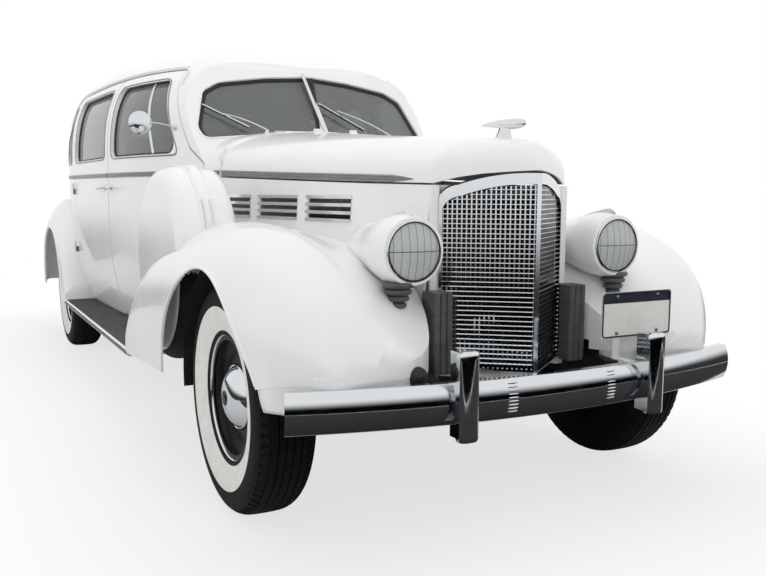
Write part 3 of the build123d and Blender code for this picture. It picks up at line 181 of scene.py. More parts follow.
def whitewallTyre(name, axleY, outerX):
    # tyre rubber with a white band on its outer wall, 0.225 to 0.306 m from the axle
    material, tree, shader = startMaterial(name, Roughness=0.7, IOR=1.5, Specular_IOR_Level=0.25)
    place = addNode(tree, "ShaderNodeTexCoord").outputs["Object"]
    fromAxle = addNode(tree, "ShaderNodeVectorMath", {0: place, 1: (0, axleY, axleHeight)},
                       operation="SUBTRACT").outputs[0]
    wheelPlane = addNode(tree, "ShaderNodeVectorMath", {0: fromAxle, 1: (0, 1, 1)},
                         operation="MULTIPLY").outputs[0]
    radius = addNode(tree, "ShaderNodeVectorMath", {0: wheelPlane}, operation="LENGTH").outputs["Value"]
    inside = addNode(tree, "ShaderNodeMath", {0: radius, 1: 0.2655, 2: 0.0405}, operation="COMPARE").outputs[0]
    sideways = addNode(tree, "ShaderNodeSeparateXYZ", {0: place}).outputs[0]
    width = addNode(tree, "ShaderNodeMath", {0: sideways}, operation="ABSOLUTE").outputs[0]
    outer = addNode(tree, "ShaderNodeMath", {0: width, 1: outerX}, operation="GREATER_THAN").outputs[0]
    band = addNode(tree, "ShaderNodeMath", {0: inside, 1: outer}, operation="MULTIPLY").outputs[0]
    dust = spread(tree, objectNoise(tree, 30, 4), 0, 1)
    black, white = tint(tree, dust, "#070707", "#0E0E0E"), tint(tree, dust, "#E9E8E4", "#F4F3F0")
    colour = addNode(tree, "ShaderNodeMix", {"Factor": band, 6: black, 7: white}, data_type="RGBA").outputs[2]
    tree.links.new(colour, shader.inputs["Base Color"])
    tree.links.new(spread(tree, objectNoise(tree, 8, 3), 0.58, 0.78), shader.inputs["Roughness"])
    # moulding rings 6 mm apart round the wall, and a fine grain
    rings = addNode(tree, "ShaderNodeMath", {0: radius, 1: 2 * pi / 0.006}, operation="MULTIPLY").outputs[0]
    wave = addNode(tree, "ShaderNodeMath", {0: rings}, operation="SINE").outputs[0]
    plain = addNode(tree, "ShaderNodeMath", {0: 1.0, 1: band}, operation="SUBTRACT").outputs[0]
    height = addNode(tree, "ShaderNodeMath", {0: wave, 1: plain}, operation="MULTIPLY").outputs[0]
    roughen(tree, shader, height, 0.25, 0.3)
    return material


def flutedLens():
    # pressed lamp glass: upright flutes 25 mm apart and one level bar, with painted shade darkening the glass
    # along the grooves and the bar
    material, tree, shader = startMaterial(
        "flutedLens", Base_Color="#E4E7E8", Roughness=0.04, IOR=1.5, Transmission_Weight=0.45)
    place = addNode(tree, "ShaderNodeTexCoord").outputs["Object"]
    axes = addNode(tree, "ShaderNodeSeparateXYZ", {0: place}).outputs
    flute = addNode(tree, "ShaderNodeMath", {0: axes[0], 1: 80}, operation="MULTIPLY").outputs[0]
    flute = addNode(tree, "ShaderNodeMath", {0: flute, 1: 1}, operation="PINGPONG").outputs[0]
    groove = addNode(tree, "ShaderNodeMapRange", {
        "Value": flute, "From Max": 0.16, "To Min": 0.8, "To Max": 0.0}).outputs[0]
    level = addNode(tree, "ShaderNodeMath", {0: axes[2], 1: 0.893, 2: 0.0014}, operation="COMPARE").outputs[0]
    line = addNode(tree, "ShaderNodeMath", {0: groove, 1: level}, operation="MAXIMUM").outputs[0]
    # painted shade: the colour goes dark along the grooves and the level bar
    tree.links.new(tint(tree, line, "#E4E7E8", "#777C7F"), shader.inputs["Base Color"])
    height = addNode(tree, "ShaderNodeMath", {0: flute, 1: line}, operation="SUBTRACT").outputs[0]
    roughen(tree, shader, height, 0.4, 1.6)
    return material


def lampGlass(name, colour, clearness):
    # moulded coloured glass over a lamp
    material, tree, shader = startMaterial(
        name, Base_Color=colour, Roughness=0.08, IOR=1.5, Transmission_Weight=clearness)
    tree.links.new(spread(tree, objectNoise(tree, 20, 2), 0.04, 0.12), shader.inputs["Roughness"])
    return material


finishes = {
    "frontTyre": whitewallTyre("frontTyreRubber", frontAxle, 0.80),
    "rearTyre": whitewallTyre("rearTyreRubber", rearAxle, 0.817),
    "lens": flutedLens(),
    "redGlass": lampGlass("redLampGlass", "#9C1414", 0.55),
    "bulb": lampGlass("bulbGlass", "#F3EFE2", 0.8),
    "trim": wovenCloth("doorTrimCloth", "#827D74", "#A39D92"),
    "plateBand": paintedMetal("plateBandEnamel", "#171C28", "#222838", 0.35),
    "capEnamel": paintedMetal("capEnamel", "#121212", "#1C1C1C", 0.25),
    # near-black painted shade for the faces and sheets inside the wheel wells
    "wellShade": paintedMetal("wellShade", "#0B0B0B", "#161616", 0.8, 6),
    "enamel": sprayedEnamel(),
    "chrome": brightMetal("chromePlate", "#D9DCDF", 0.04, 0.11),
    "reflector": brightMetal("silveredReflector", "#E9ECEE", 0.02, 0.05),
    "stainless": brushedStainless(),
    "glass": plateGlass(),
    "gasket": mouldedRubber("gasketRubber", "#121213", "#202021", 0.55, 2, 0.08),
    "mat": mouldedRubber("matRubber", "#2A2B2C", "#3B3C3D", 0.6, 2, 0.1),
    "ribbed": mouldedRubber("ribbedRubber", "#47494B", "#5A5C5E", 0.42, 4, 0.1),
    "black": paintedMetal("chassisEnamel", "#101112", "#1D1E1F", 0.45),
    "wheelPaint": paintedMetal("wheelEnamel", "#0C0C0D", "#141415", 0.48),
    "engine": paintedMetal("engineEnamel", "#3F4A45", "#55605B", 0.45),
    "exhaust": paintedMetal("exhaustSteel", "#5B554F", "#77706A", 0.55, 6),
    "cloth": wovenCloth("woolBroadcloth", "#77736C", "#9A958C"),
    "headlining": wovenCloth("headlining", "#8F8B83", "#ABA79E"),
    "carpet": wovenCloth("carpet", "#2D2B29", "#45423F"),
    "wood": paintedMetal("grainedDash", "#3A3028", "#54463A", 0.3),
    "plate": paintedMetal("plateEnamel", "#DADAD6", "#E6E6E2", 0.35),
}
print("finishes made:", len(finishes))


def modify(piece, kind, **settings):
    modifier = piece.modifiers.new(kind.lower(), kind)
    for key, value in settings.items():
        setattr(modifier, key, value)


def meshRows(items, field, width=3, kind=float):
    # a field of every vertex or face of a mesh, as rows
    values = np.empty(len(items) * width, kind)
    items.foreach_get(field, values)
    return values.reshape(-1, width) if width > 1 else values


nodeFinishes = {
    "enamel": ["roof", "rear_body", "body_sills", "cowl", "hood", "hood_sides", "nose", "headlamp_shells",
               "front_fenders", "rear_fenders", "running_boards", "spare_covers", "boot_lid",
               "front_door_left", "front_door_right", "rear_door_left", "rear_door_right"],
    "chrome": ["hood_ornament", "louvre_bars", "grille", "grille_surround", "front_bumper", "rear_bumper"],
    "glass": ["windscreen_glass", "rear_glass", "front_door_glass_left", "front_door_glass_right",
              "rear_door_glass_left", "rear_door_glass_right"],
    "lens": ["headlamp_lenses"],
    "redGlass": ["tail_lamps"],
    "ribbed": ["grille_side_mouldings", "headlamp_brackets"],
    "black": ["chassis_frame", "front_suspension", "knuckle_left", "knuckle_right", "rear_axle",
              "propeller_shaft", "radiator_core", "fuel_tank"],
    "engine": ["engine"],
    "exhaust": ["exhaust"],
    "carpet": ["floor_pan"],
    "cloth": ["front_seat", "rear_seat"],
    "wood": ["dashboard", "steering_wheel"],
    "plate": ["number_plate"],
    "frontTyre": ["tyre_front_left", "tyre_front_right"],
    "rearTyre": ["tyre_rear_left", "tyre_rear_right"],
    "wheelPaint": [f"wheel_{place}" for place in ("front_left", "front_right", "rear_left", "rear_right")],
}
for key, names in nodeFinishes.items():
    for name in names:
        # edges under 35 degrees are shaded smooth
        data = nodes[name].data
        data.materials.clear()
        data.materials.append(finishes[key])
        data.polygons.foreach_set("use_smooth", np.ones(len(data.polygons), bool))
        modify(nodes[name], "WELD", merge_threshold=mergeGap)
        modify(nodes[name], "EDGE_SPLIT", split_angle=radians(35), use_edge_sharp=False)
print("frame nodes finished:", sum(len(names) for names in nodeFinishes.values()))

# CAD surfaces for seating the trim, found by casting a ray onto them
surfaceTrees = {}


def surfaceOf(name):
    if name not in surfaceTrees:
        data = nodes[name].data
        faces = meshRows(data.polygons, "vertices", 3, np.int32)
        surfaceTrees[name] = BVHTree.FromPolygons(meshRows(data.vertices, "co").tolist(), faces.tolist())
    return surfaceTrees[name]


def castOn(names, origin, direction):
    # the first point met on any of the named nodes, with its normal turned back along the ray
    best = None
    for name in names:
        place, normal, _, distance = surfaceOf(name).ray_cast(Vector(origin), Vector(direction).normalized())
        if place is not None and (best is None or distance < best[2]):
            best = (place, normal if normal.dot(Vector(direction)) < 0 else -normal, distance)
    return best


def seatPath(names, origins, direction):
    # a path laid on the nodes from points outside them; a point that misses is left out
    hits = [castOn(names, origin, direction) for origin in origins]
    hits = [hit for hit in hits if hit]
    return np.array([hit[0] for hit in hits]), np.array([hit[1] for hit in hits])


def newPiece(name, points, faces, finish, body=None, smooth=True, closed=True):
    # a piece with no body named rides on the chassis; a closed one is merged and turned face out
    data = bpy.data.meshes.new(name)
    data.from_pydata(np.asarray(points, float).tolist(), [], [tuple(face) for face in faces])
    data.polygons.foreach_set("use_smooth", np.full(len(data.polygons), smooth))
    data.materials.append(finishes[finish])
    data.validate()
    if closed:
        shell = bmesh.new()
        shell.from_mesh(data)
        bmesh.ops.remove_doubles(shell, verts=shell.verts, dist=mergeGap)
        bmesh.ops.recalc_face_normals(shell, faces=shell.faces)
        shell.to_mesh(data)
        shell.free()
    piece = bpy.data.objects.new(name, data)
    bpy.context.scene.collection.objects.link(piece)
    if smooth:
        modify(piece, "EDGE_SPLIT", split_angle=radians(40))
    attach(piece, body or "chassis")
    return piece


def gridFaces(rows, columns, closeRows=False, closeColumns=False):
    # quads of a grid of points numbered row by row; a closed way joins its last line to its first
    row = np.arange(rows if closeRows else rows - 1)[:, None]
    column = np.arange(columns if closeColumns else columns - 1)[None, :]
    nextRow, nextColumn = (row + 1) % rows, (column + 1) % columns
    quads = np.stack([row * columns + column, row * columns + nextColumn,
                      nextRow * columns + nextColumn, nextRow * columns + column], axis=-1)
    return quads.reshape(-1, 4).tolist()


def mirroredFaces(faces, sign):
    # the same faces turned over on the right side, so that both sheets face out
    return faces if sign > 0 else [face[::-1] for face in faces]


def cappedTube(rows, columns):
    # a tube of rings of points, with a face over each end
    ends = [list(range(columns)), list(range((rows - 1) * columns, rows * columns))[::-1]]
    return gridFaces(rows, columns, False, True) + ends


def arcPath(centre, radius, start, end, steps):
    # points round a centre in the plane x = constant, with their outward directions; degrees from +y up
    angle = np.radians(np.linspace(start, end, steps))
    outward = np.stack([np.zeros(steps), np.cos(angle), np.sin(angle)], axis=1)
    return np.array(centre) + radius * outward, outward


def unit(vectors):
    return vectors / np.maximum(np.linalg.norm(vectors, axis=-1, keepdims=True), 1e-9)


def sweep(name, path, outward, profile, finish, body=None, closed=False, scale=None):
    # a profile (across, out) in mm carried along a path in metres, across = along x out
    path, outward, profile = np.asarray(path, float), np.asarray(outward, float), np.asarray(profile, float) / 1000
    if closed:
        along = unit(np.roll(path, -1, 0) - np.roll(path, 1, 0))
    else:
        along = unit(np.gradient(path, axis=0))
    outward = np.broadcast_to(outward, path.shape)
    outward = unit(outward - (outward * along).sum(1, keepdims=True) * along)
    across = np.cross(along, outward)
    size = np.ones(len(path)) if scale is None else np.asarray(scale, float)
    points = (path[:, None] + across[:, None] * (profile[None, :, :1] * size[:, None, None])
              + outward[:, None] * (profile[None, :, 1:] * size[:, None, None]))
    rings = (len(path), len(profile))
    faces = gridFaces(*rings, True, True) if closed else cappedTube(*rings)
    return newPiece(name, points.reshape(-1, 3), faces, finish, body)


def turned(name, profile, centre, axis, finish, body=None, segments=72):
    # a profile of (radius, height along the axis) in mm, turned about an axis through the centre;
    # one that keeps off the axis is a ring, so its ends are joined, and any other open end is capped
    axis = unit(np.asarray(axis, float))
    side = unit(np.cross(axis, (0, 0, 1) if abs(axis[2]) < 0.9 else (1, 0, 0)))
    up = np.cross(axis, side)
    profile = np.asarray(profile, float) / 1000
    angle = np.linspace(0, 2 * pi, segments, endpoint=False)[:, None, None]
    radius, height = profile[None, :, :1], profile[None, :, 1:]
    points = np.asarray(centre) + radius * (np.cos(angle) * side + np.sin(angle) * up) + height * axis
    points = points.reshape(-1, 3)
    ring = profile[0, 0] > 0 and profile[-1, 0] > 0
    faces = gridFaces(segments, len(profile), True, ring)
    for end in (0, len(profile) - 1):
        if profile[end, 0] > 0 and not ring:
            faces.append((np.arange(segments) * len(profile) + end).tolist())
    return newPiece(name, points, faces, finish, body)


def smoothLine(points, count):
    # Catmull-Rom curve through the points, evenly stepped
    points = np.asarray(points, float)
    padded = np.concatenate([2 * points[:1] - points[1:2], points, 2 * points[-1:] - points[-2:-1]])
    at = np.linspace(0, len(points) - 1 - 1e-9, count)
    cell = at.astype(int)
    t = (at - cell)[:, None]
    a, b, c, d = (padded[cell + k] for k in range(4))
    return 0.5 * (2 * b + (c - a) * t + (2 * a - 5 * b + 4 * c - d) * t ** 2 + (3 * b - a - 3 * c + d) * t ** 3)


def halfRound(width, height, steps=7):
    # raised bead: half an ellipse on a base sunk 1 mm into what it lies on
    angle = np.linspace(0, pi, steps)
    arc = np.stack([np.cos(angle) * width / 2, np.sin(angle) * height], axis=1)
    return np.concatenate([[(width / 2, -1)], arc, [(-width / 2, -1)]])


def roundRod(width, height, steps=12):
    angle = np.linspace(0, 2 * pi, steps, endpoint=False)
    return np.stack([np.cos(angle) * width / 2, np.sin(angle) * height / 2], axis=1)


def roundedOutline(corners, radius, steps=5, spacing=0.04):
    # closed polygon with its corners rounded by a curve between the two cut points, and long edges split
    corners = np.asarray(corners, float)
    outline = []
    for here, before, after in zip(corners, np.roll(corners, 1, 0), np.roll(corners, -1, 0)):
        start = here + unit(before - here) * radius
        end = here + unit(after - here) * radius
        t = np.linspace(0, 1, steps)[:, None]
        outline.append((1 - t) ** 2 * start + 2 * t * (1 - t) * here + t ** 2 * end)
    outline = np.concatenate(outline)
    split = []
    for a, b in zip(outline, np.roll(outline, -1, 0)):
        count = max(1, int(np.ceil(np.linalg.norm(b - a) / spacing)))
        split.append(a + (b - a) * np.arange(count)[:, None] / count)
    return np.concatenate(split)


def grown(corners, amount):
    # polygon moved outwards by an amount, each corner away from the middle on both axes
    corners = np.asarray(corners, float)
    middle = (corners.max(0) + corners.min(0)) / 2
    return corners + np.sign(corners - middle) * amount


def paintFaces(name, key, choose):
    # a second finish on the faces of a node that choose picks by their middle and normal
    data = nodes[name].data
    slots = meshRows(data.polygons, "material_index", 1, np.int32)
    data.materials.append(finishes[key])
    slots[choose(meshRows(data.polygons, "center"), meshRows(data.polygons, "normal"))] = len(data.materials) - 1
    data.polygons.foreach_set("material_index", slots)
    data.update()


# inner faces of the cabin: cloth on the doors and quarters, headlining on the roof
for side, sign in sides.items():
    for place in ("front", "rear"):
        paintFaces(f"{place}_door_{side}", "trim", lambda middle, normal: normal[:, 0] * sign < -0.5)
paintFaces("roof", "headlining", lambda middle, normal: (normal[:, 2] < -0.15) & (middle[:, 2] > 1.5))
paintFaces("rear_body", "trim", lambda middle, normal:
           (normal[:, 0] * np.sign(middle[:, 0]) < -0.35) & (middle[:, 2] > 0.62) & (middle[:, 1] < 2.3))
paintFaces("cowl", "trim", lambda middle, normal:
           (normal[:, 1] > 0.3) & (middle[:, 1] > frontAxle + 1.02) & (middle[:, 2] < 1.3))
paintFaces("body_sills", "trim", lambda middle, normal: normal[:, 0] * np.sign(middle[:, 0]) < -0.5)

# painted shade inside the wheel wells: faces near an axle that look towards its wheel are painted near black, for
# the shade that falls there
wells = {"reach": 0.56, "facing": 0.25, "outer": 0.93, "track": 0.766,
         "coverFoot": 0.64, "coverTop": 0.78, "coverReach": 0.53}


def facesWheel(middle, normal):
    chosen = np.zeros(len(middle), bool)
    for y in (frontAxle, rearAxle):
        hub = np.stack([np.sign(middle[:, 0]) * wells["track"], np.full(len(middle), y),
                        np.full(len(middle), axleHeight)], axis=1)
        towards = hub - middle
        facing = (towards * normal).sum(1) / np.maximum(np.linalg.norm(towards, axis=1), 1e-6)
        near = np.hypot(towards[:, 1], towards[:, 2]) < wells["reach"]
        chosen |= (facing > wells["facing"]) & near & (np.abs(middle[:, 0]) < wells["outer"])
    return chosen


for node in ("front_fenders", "rear_fenders", "cowl", "rear_body", "body_sills"):
    paintFaces(node, "wellShade", facesWheel)
# the same painted shade on the spare covers, only on their rims low in the wells: their flat sides are single
# large faces that show above the fender
paintFaces("spare_covers", "wellShade", lambda middle, normal: (np.abs(normal[:, 0]) < 0.9)
           & ((middle[:, 2] < wells["coverFoot"]) | (middle[:, 2] < wells["coverTop"])
              & (np.hypot(middle[:, 1] - frontAxle, middle[:, 2] - axleHeight) < wells["coverReach"])))

# cowl: its front collar cut down to the line of the hood, so that it stays hidden below it
collar = {"back": frontAxle + 1.030, "above": 1.12, "line": frontAxle + 0.955, "below": 0.004}
cowl = nodes["cowl"].data
corners = meshRows(cowl.vertices, "co")
for index in np.flatnonzero((corners[:, 1] < collar["back"]) & (corners[:, 2] > collar["above"])):
    hit = castOn(["hood"], (corners[index, 0], collar["line"], 2.0), (0, 0, -1))
    if hit:
        corners[index, 2] = min(corners[index, 2], hit[0][2] - collar["below"])
faces = meshRows(cowl.polygons, "vertices", 3, np.int32).tolist()
cowlPanel = newPiece("cowlPanel", corners, faces, "enamel", closed=False)
for material in list(cowl.materials)[1:]:
    cowlPanel.data.materials.append(material)
slots = meshRows(cowl.polygons, "material_index", 1, np.int32)
cowlPanel.data.polygons.foreach_set("material_index", slots)
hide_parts("cowl")

# belt moulding: three level ridges along the waist, from the nose of the hood to the tail
beltMoulding = {
    "y": np.array([-0.26, 0, 0.45, 0.984, 1.1, 2.1, 3.0, 3.8, 4.35]) + frontAxle,
    "z": [1.113, 1.121, 1.134, 1.151, 1.153, 1.153, 1.156, 1.166, 1.172],
    "profile": [(12, -1), (12, 1.5), (9.5, 5), (6.5, 5), (5, 2.6), (3, 2.6), (1.5, 6), (-1.5, 6), (-3, 2.6),
                (-5, 2.6), (-6.5, 5), (-9.5, 5), (-12, 1.5), (-12, -1)],
}
beltLengths = [
    # node, body, first and last y
    ("hood", "hood", frontAxle - 0.262, frontAxle + 0.978),
    ("cowl", None, frontAxle + 0.996, doorFront - 0.010),
    ("front_door", "front_door", doorFront + 0.004, doorSplit - 0.004),
    ("rear_door", "rear_door", doorSplit + 0.015, doorBack - 0.004),
    ("rear_body", None, doorBack + 0.012, frontAxle + 4.30),
]
for side, sign in sides.items():
    for node, body, first, last in beltLengths:
        node = f"{node}_{side}" if "door" in node else node
        body = f"{body}_{side}" if body and "door" in body else body
        y = np.linspace(first, last, max(6, int((last - first) / 0.05)))
        z = np.interp(y, beltMoulding["y"], beltMoulding["z"])
        path, outward = seatPath([node], [(sign * far, a, b) for a, b in zip(y, z)], (-sign, 0, 0))
        taper = np.ones(len(path))
        if node == "hood":
            taper = np.clip((path[:, 1] - path[0, 1]) / 0.10 + 0.12, 0, 1)
        sweep(f"beltMoulding_{node}_{side}", path, outward, beltMoulding["profile"], "stainless", body,
              scale=taper)
print("belt mouldings laid")

# side windows: rubber channel on the glass, stainless reveal on the panel round each opening
windows = {
    "front_door": ([(doorFront + 0.190, 1.246), (doorFront + 0.400, 1.602), (doorSplit - 0.062, 1.602),
                    (doorSplit - 0.062, 1.246)], "front_door_glass"),
    "rear_door": ([(doorSplit + 0.070, 1.246), (doorSplit + 0.070, 1.602), (doorBack - 0.096, 1.602),
                   (doorBack - 0.066, 1.246)], "rear_door_glass"),
    "rear_body": ([(doorBack + 0.110, 1.246), (doorBack + 0.110, 1.592), (doorBack + 0.250, 1.572),
                   (doorBack + 0.400, 1.246)], "rear_glass"),
}
windowTrim = {"channel": halfRound(13, 7), "reveal": halfRound(8, 3.5), "inset": 0.004, "spread": 0.008}
for side, sign in sides.items():
    for name, (outline, glass) in windows.items():
        door = name != "rear_body"
        body = f"{name}_{side}" if door else None
        panel = f"{name}_{side}" if door else name
        pane = f"{glass}_{side}" if door else glass
        inner = roundedOutline(grown(outline, -windowTrim["inset"]), 0.045)
        path, outward = seatPath([pane], [(sign * far, y, z) for y, z in inner], (-sign, 0, 0))
        sweep(f"windowChannel_{name}_{side}", path, outward, windowTrim["channel"], "gasket", body, closed=True)
        outer = roundedOutline(grown(outline, windowTrim["spread"]), 0.050)
        path, outward = seatPath([panel], [(sign * far, y, z) for y, z in outer], (-sign, 0, 0))
        sweep(f"windowReveal_{name}_{side}", path, outward, windowTrim["reveal"], "stainless", body, closed=True)

# post between the front door glass and its vent pane
ventPost = {"low": (frontAxle + 1.543, 1.25), "high": (frontAxle + 1.676, 1.598)}
for side, sign in sides.items():
    t = np.linspace(0, 1, 12)[:, None]
    line = np.array(ventPost["low"]) * (1 - t) + np.array(ventPost["high"]) * t
    path, outward = seatPath([f"front_door_glass_{side}"], [(sign * far, y, z) for y, z in line], (-sign, 0, 0))
    sweep(f"ventPost_{side}", path, outward, halfRound(16, 9), "chrome", f"front_door_{side}")

# windscreen: each pane lies in a plane swept back from the middle and raked
rake, vee = radians(34.2), radians(11)
paneFoot = np.array((0, frontAxle + 1.103, 1.354))
paneOutline = np.array([(20, 4), (300, -22), (560, -50), (592, 10), (556, 225), (480, 280), (260, 318),
                        (20, 335)]) / 1000
screenTrim = {"channel": halfRound(24, 9), "reveal": halfRound(10, 4), "glassDepth": 0.017, "corner": 0.033}


def paneOut(sign):
    return np.array((sign * sin(vee) * cos(rake), -cos(vee) * cos(rake), sin(rake)))


def panePoint(sign, u, v, depth=0.0):
    # u across and v up the pane in metres, depth behind its face
    across = np.array((cos(vee) * sign, sin(vee), 0))
    up = np.array((-sign * sin(rake) * sin(vee), sin(rake) * cos(vee), cos(rake)))
    return paneFoot + across * u + up * v - paneOut(sign) * depth


for side, sign in sides.items():
    line = roundedOutline(paneOutline, screenTrim["corner"])
    middle = line.mean(0)
    inner = middle + (line - middle) * 0.985
    outer = middle + (line - middle) * 1.022
    path = np.array([panePoint(sign, u, v, screenTrim["glassDepth"]) for u, v in inner])
    sweep(f"screenChannel_{side}", path, paneOut(sign), screenTrim["channel"], "gasket", closed=True)
    # the reveal runs from the foot of the centre bar round the outer end to its top
    first = np.flatnonzero((outer[:, 0] > 0.034) & (np.roll(outer[:, 0], 1) <= 0.034))[0]
    outer = np.roll(outer, -first, 0)
    outer = outer[outer[:, 0] > 0.034]
    path = np.array([panePoint(sign, u, v) for u, v in outer])
    sweep(f"screenReveal_{side}", path, paneOut(sign), screenTrim["reveal"], "enamel")
t = np.linspace(0, 1, 8)[:, None]
barPath = panePoint(1, 0, -0.012) * (1 - t) + panePoint(1, 0, 0.348) * t
sweep("screenCentreBar", barPath, (0, -cos(rake), sin(rake)), halfRound(17, 9), "chrome")

# wipers: spindle on the cowl, bent arm, and a blade with its rubber resting on the pane
wipers = {
    "left": {"pivot": (0.350, -0.036), "tip": (0.110, 0.125), "blade": ((0.235, 0.020), (0.020, 0.165))},
    "right": {"pivot": (0.300, -0.036), "tip": (0.470, 0.080), "blade": ((0.360, 0.010), (0.565, 0.135))},
}
for side, sign in sides.items():
    wiper = wipers[side]
    foot = panePoint(sign, *wiper["pivot"], -0.012)
    hit = castOn(["cowl"], foot + np.array((0, -0.05, 0.30)), (0, 0, -1))
    base = np.array(hit[0]) if hit else foot
    turned(f"wiperSpindle_{side}", [(14, -4), (14, 3), (10, 8), (7, 20), (0, 22)], base, (0, -0.35, 0.94),
           "chrome", segments=24)
    tip = panePoint(sign, *wiper["tip"], -0.014)
    t = np.linspace(0, 1, 10)[:, None]
    start = base + np.array((0, -0.006, 0.017))
    arm = start * (1 - t) + tip * t + paneOut(sign) * (0.012 * np.sin(pi * t))
    sweep(f"wiperArm_{side}", arm, paneOut(sign), roundRod(6, 4), "chrome", scale=np.linspace(1.3, 0.8, 10))
    a, b = (panePoint(sign, *end, -0.007) for end in wiper["blade"])
    blade = a * (1 - t) + b * t
    sweep(f"wiperBlade_{side}", blade, paneOut(sign), [(3, 0), (3, 5), (-3, 5), (-3, 0)], "chrome")
    blade = blade - paneOut(sign) * 0.004
    sweep(f"wiperRubber_{side}", blade, paneOut(sign), [(1.5, -3.5), (2.5, 4), (-2.5, 4), (-1.5, -3.5)], "gasket")
print("glass trim and wipers fitted")

# grille: level bars bent at the prow with uprights behind them, cut to the rounded opening
bars = {
    "rows": 37, "columns": 20, "low": 0.508, "prow": frontAxle - 0.556, "slope": 0.8065, "setBack": 0.003,
    "x": [0, 0.108, 0.194, 0.227, 0.2395], "top": [1.096, 1.088, 1.059, 1.042, 1.013],
    # level bar, mm: behind its front, above its middle; its face looks a little upwards
    "rowProfile": [(9, -2.6), (1.2, -2.6), (0, -1.4), (0.8, 0.8), (3.4, 2.4), (9, 2.6)],
    "columnWidth": 0.0034, "columnDepth": (0.0008, 0.014),
}
z = np.linspace(bars["low"], bars["top"][0], bars["rows"] + 2)[1:-1]
reach = np.interp(z, bars["top"][::-1], bars["x"][::-1])
reach[z < bars["top"][-1]] = bars["x"][-1]
profile = np.array(bars["rowProfile"]) / 1000
x = np.stack([-reach, np.zeros_like(reach), reach], axis=1)
y = bars["prow"] + bars["setBack"] + bars["slope"] * np.abs(x)
points = np.stack(np.broadcast_arrays(x[:, :, None], y[:, :, None] + profile[None, None, :, 0],
                                      z[:, None, None] + profile[None, None, :, 1]), axis=-1)
count = len(profile)
one = np.array(gridFaces(3, count, False, True))
faces = (one[None] + (np.arange(bars["rows"]) * 3 * count)[:, None, None]).reshape(-1, 4).tolist()
for row in range(bars["rows"]):
    faces.append(list(range(row * 3 * count, row * 3 * count + count)))
    faces.append(list(range(row * 3 * count + 2 * count, (row + 1) * 3 * count))[::-1])
levels = newPiece("grilleLevels", points.reshape(-1, 3), faces, "chrome", smooth=False)
x = (np.arange(bars["columns"]) + 0.6) * bars["x"][-1] / bars["columns"]
x = np.concatenate([-x, x])[:, None]
top = np.interp(np.abs(x), bars["x"], bars["top"])
wide = np.array([-1, 1, 1, -1, -1, 1, 1, -1])[None, :] * bars["columnWidth"] / 2
deep = np.array([0, 0, 1, 1, 0, 0, 1, 1])[None, :]
depth = bars["columnDepth"][0] + deep * (bars["columnDepth"][1] - bars["columnDepth"][0])
y = bars["prow"] + bars["setBack"] + bars["slope"] * np.abs(x + wide) + depth
z = np.where(np.arange(8)[None, :] < 4, bars["low"], top)
points = np.stack(np.broadcast_arrays(x + wide, y, z), axis=-1)
box = np.array([(0, 3, 2, 1), (4, 5, 6, 7), (0, 1, 5, 4), (1, 2, 6, 5), (2, 3, 7, 6), (3, 0, 4, 7)])
faces = (box[None] + (np.arange(len(x)) * 8)[:, None, None]).reshape(-1, 4).tolist()
newPiece("grilleUprights", points.reshape(-1, 3), faces, "chrome", smooth=False)
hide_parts("grille")

# hood ornament: a slim swept bullet with a low tail fin, on a foot that narrows upwards
ornament = {"front": frontAxle - 0.475, "back": frontAxle - 0.222, "z": 1.290, "high": 0.018, "wide": 0.0135}
t = np.linspace(0, 1, 40)[:, None]
turn = np.linspace(0, 2 * pi, 24, endpoint=False)[None, :]
swell = np.sin(pi * t ** 0.55) ** 0.75 * (1 - 0.35 * t) + 0.02
tail = np.clip((t - 0.30) / 0.70, 0, 1) ** 1.3
high = ornament["high"] * swell * np.where(np.sin(turn) > 0, 1 + 1.1 * tail, 1 - 0.2 * tail)
points = np.stack(np.broadcast_arrays(
    ornament["wide"] * swell * np.cos(turn), ornament["front"] + (ornament["back"] - ornament["front"]) * t,
    ornament["z"] + 0.006 * t + high * np.sin(turn)), axis=-1)
bullet = newPiece("ornamentBullet", points.reshape(-1, 3), cappedTube(40, 24), "chrome", "hood")
t = np.linspace(0, 1, 9)[:, None]
narrow = 1 - 0.42 * np.sin(t * pi / 2)
points = np.stack(np.broadcast_arrays(
    0.011 * narrow * np.cos(turn), frontAxle - 0.352 + 0.056 * narrow * np.sin(turn) - 0.012 * t,
    1.236 + 0.050 * t), axis=-1)
newPiece("ornamentFoot", points.reshape(-1, 3), cappedTube(9, 24), "chrome", "hood")
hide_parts("hood_ornament")

# fender aprons: each fender's front edge carried down behind the bumper, tucked back at its foot
apron = {"x": (0.345, 0.885), "seat": 0.560, "low": 0.432, "tuck": 0.030, "behind": 0.002}
for side, sign in sides.items():
    x = np.linspace(*apron["x"], 44)
    path, _ = seatPath(["front_fenders"], [(sign * a, -3.5, apron["seat"]) for a in x], (0, 1, 0))
    along = unit(np.gradient(path, axis=0))
    inward = np.cross(along, (0, 0, 1)) * -sign
    inward *= np.sign(inward[:, 1:2])
    t = np.linspace(0, 1, 10)[:, None, None]
    points = path[None] + inward[None] * (apron["behind"] + apron["tuck"] * t ** 2.2)
    points[:, :, 2] = apron["seat"] + 0.004 + (apron["low"] - apron["seat"]) * t[:, :, 0]
    faces = mirroredFaces(gridFaces(10, len(path)), sign)
    piece = newPiece(f"fenderApron_{side}", points.reshape(-1, 3), faces, "enamel", closed=False)
    modify(piece, "SOLIDIFY", thickness=0.002, offset=-1)

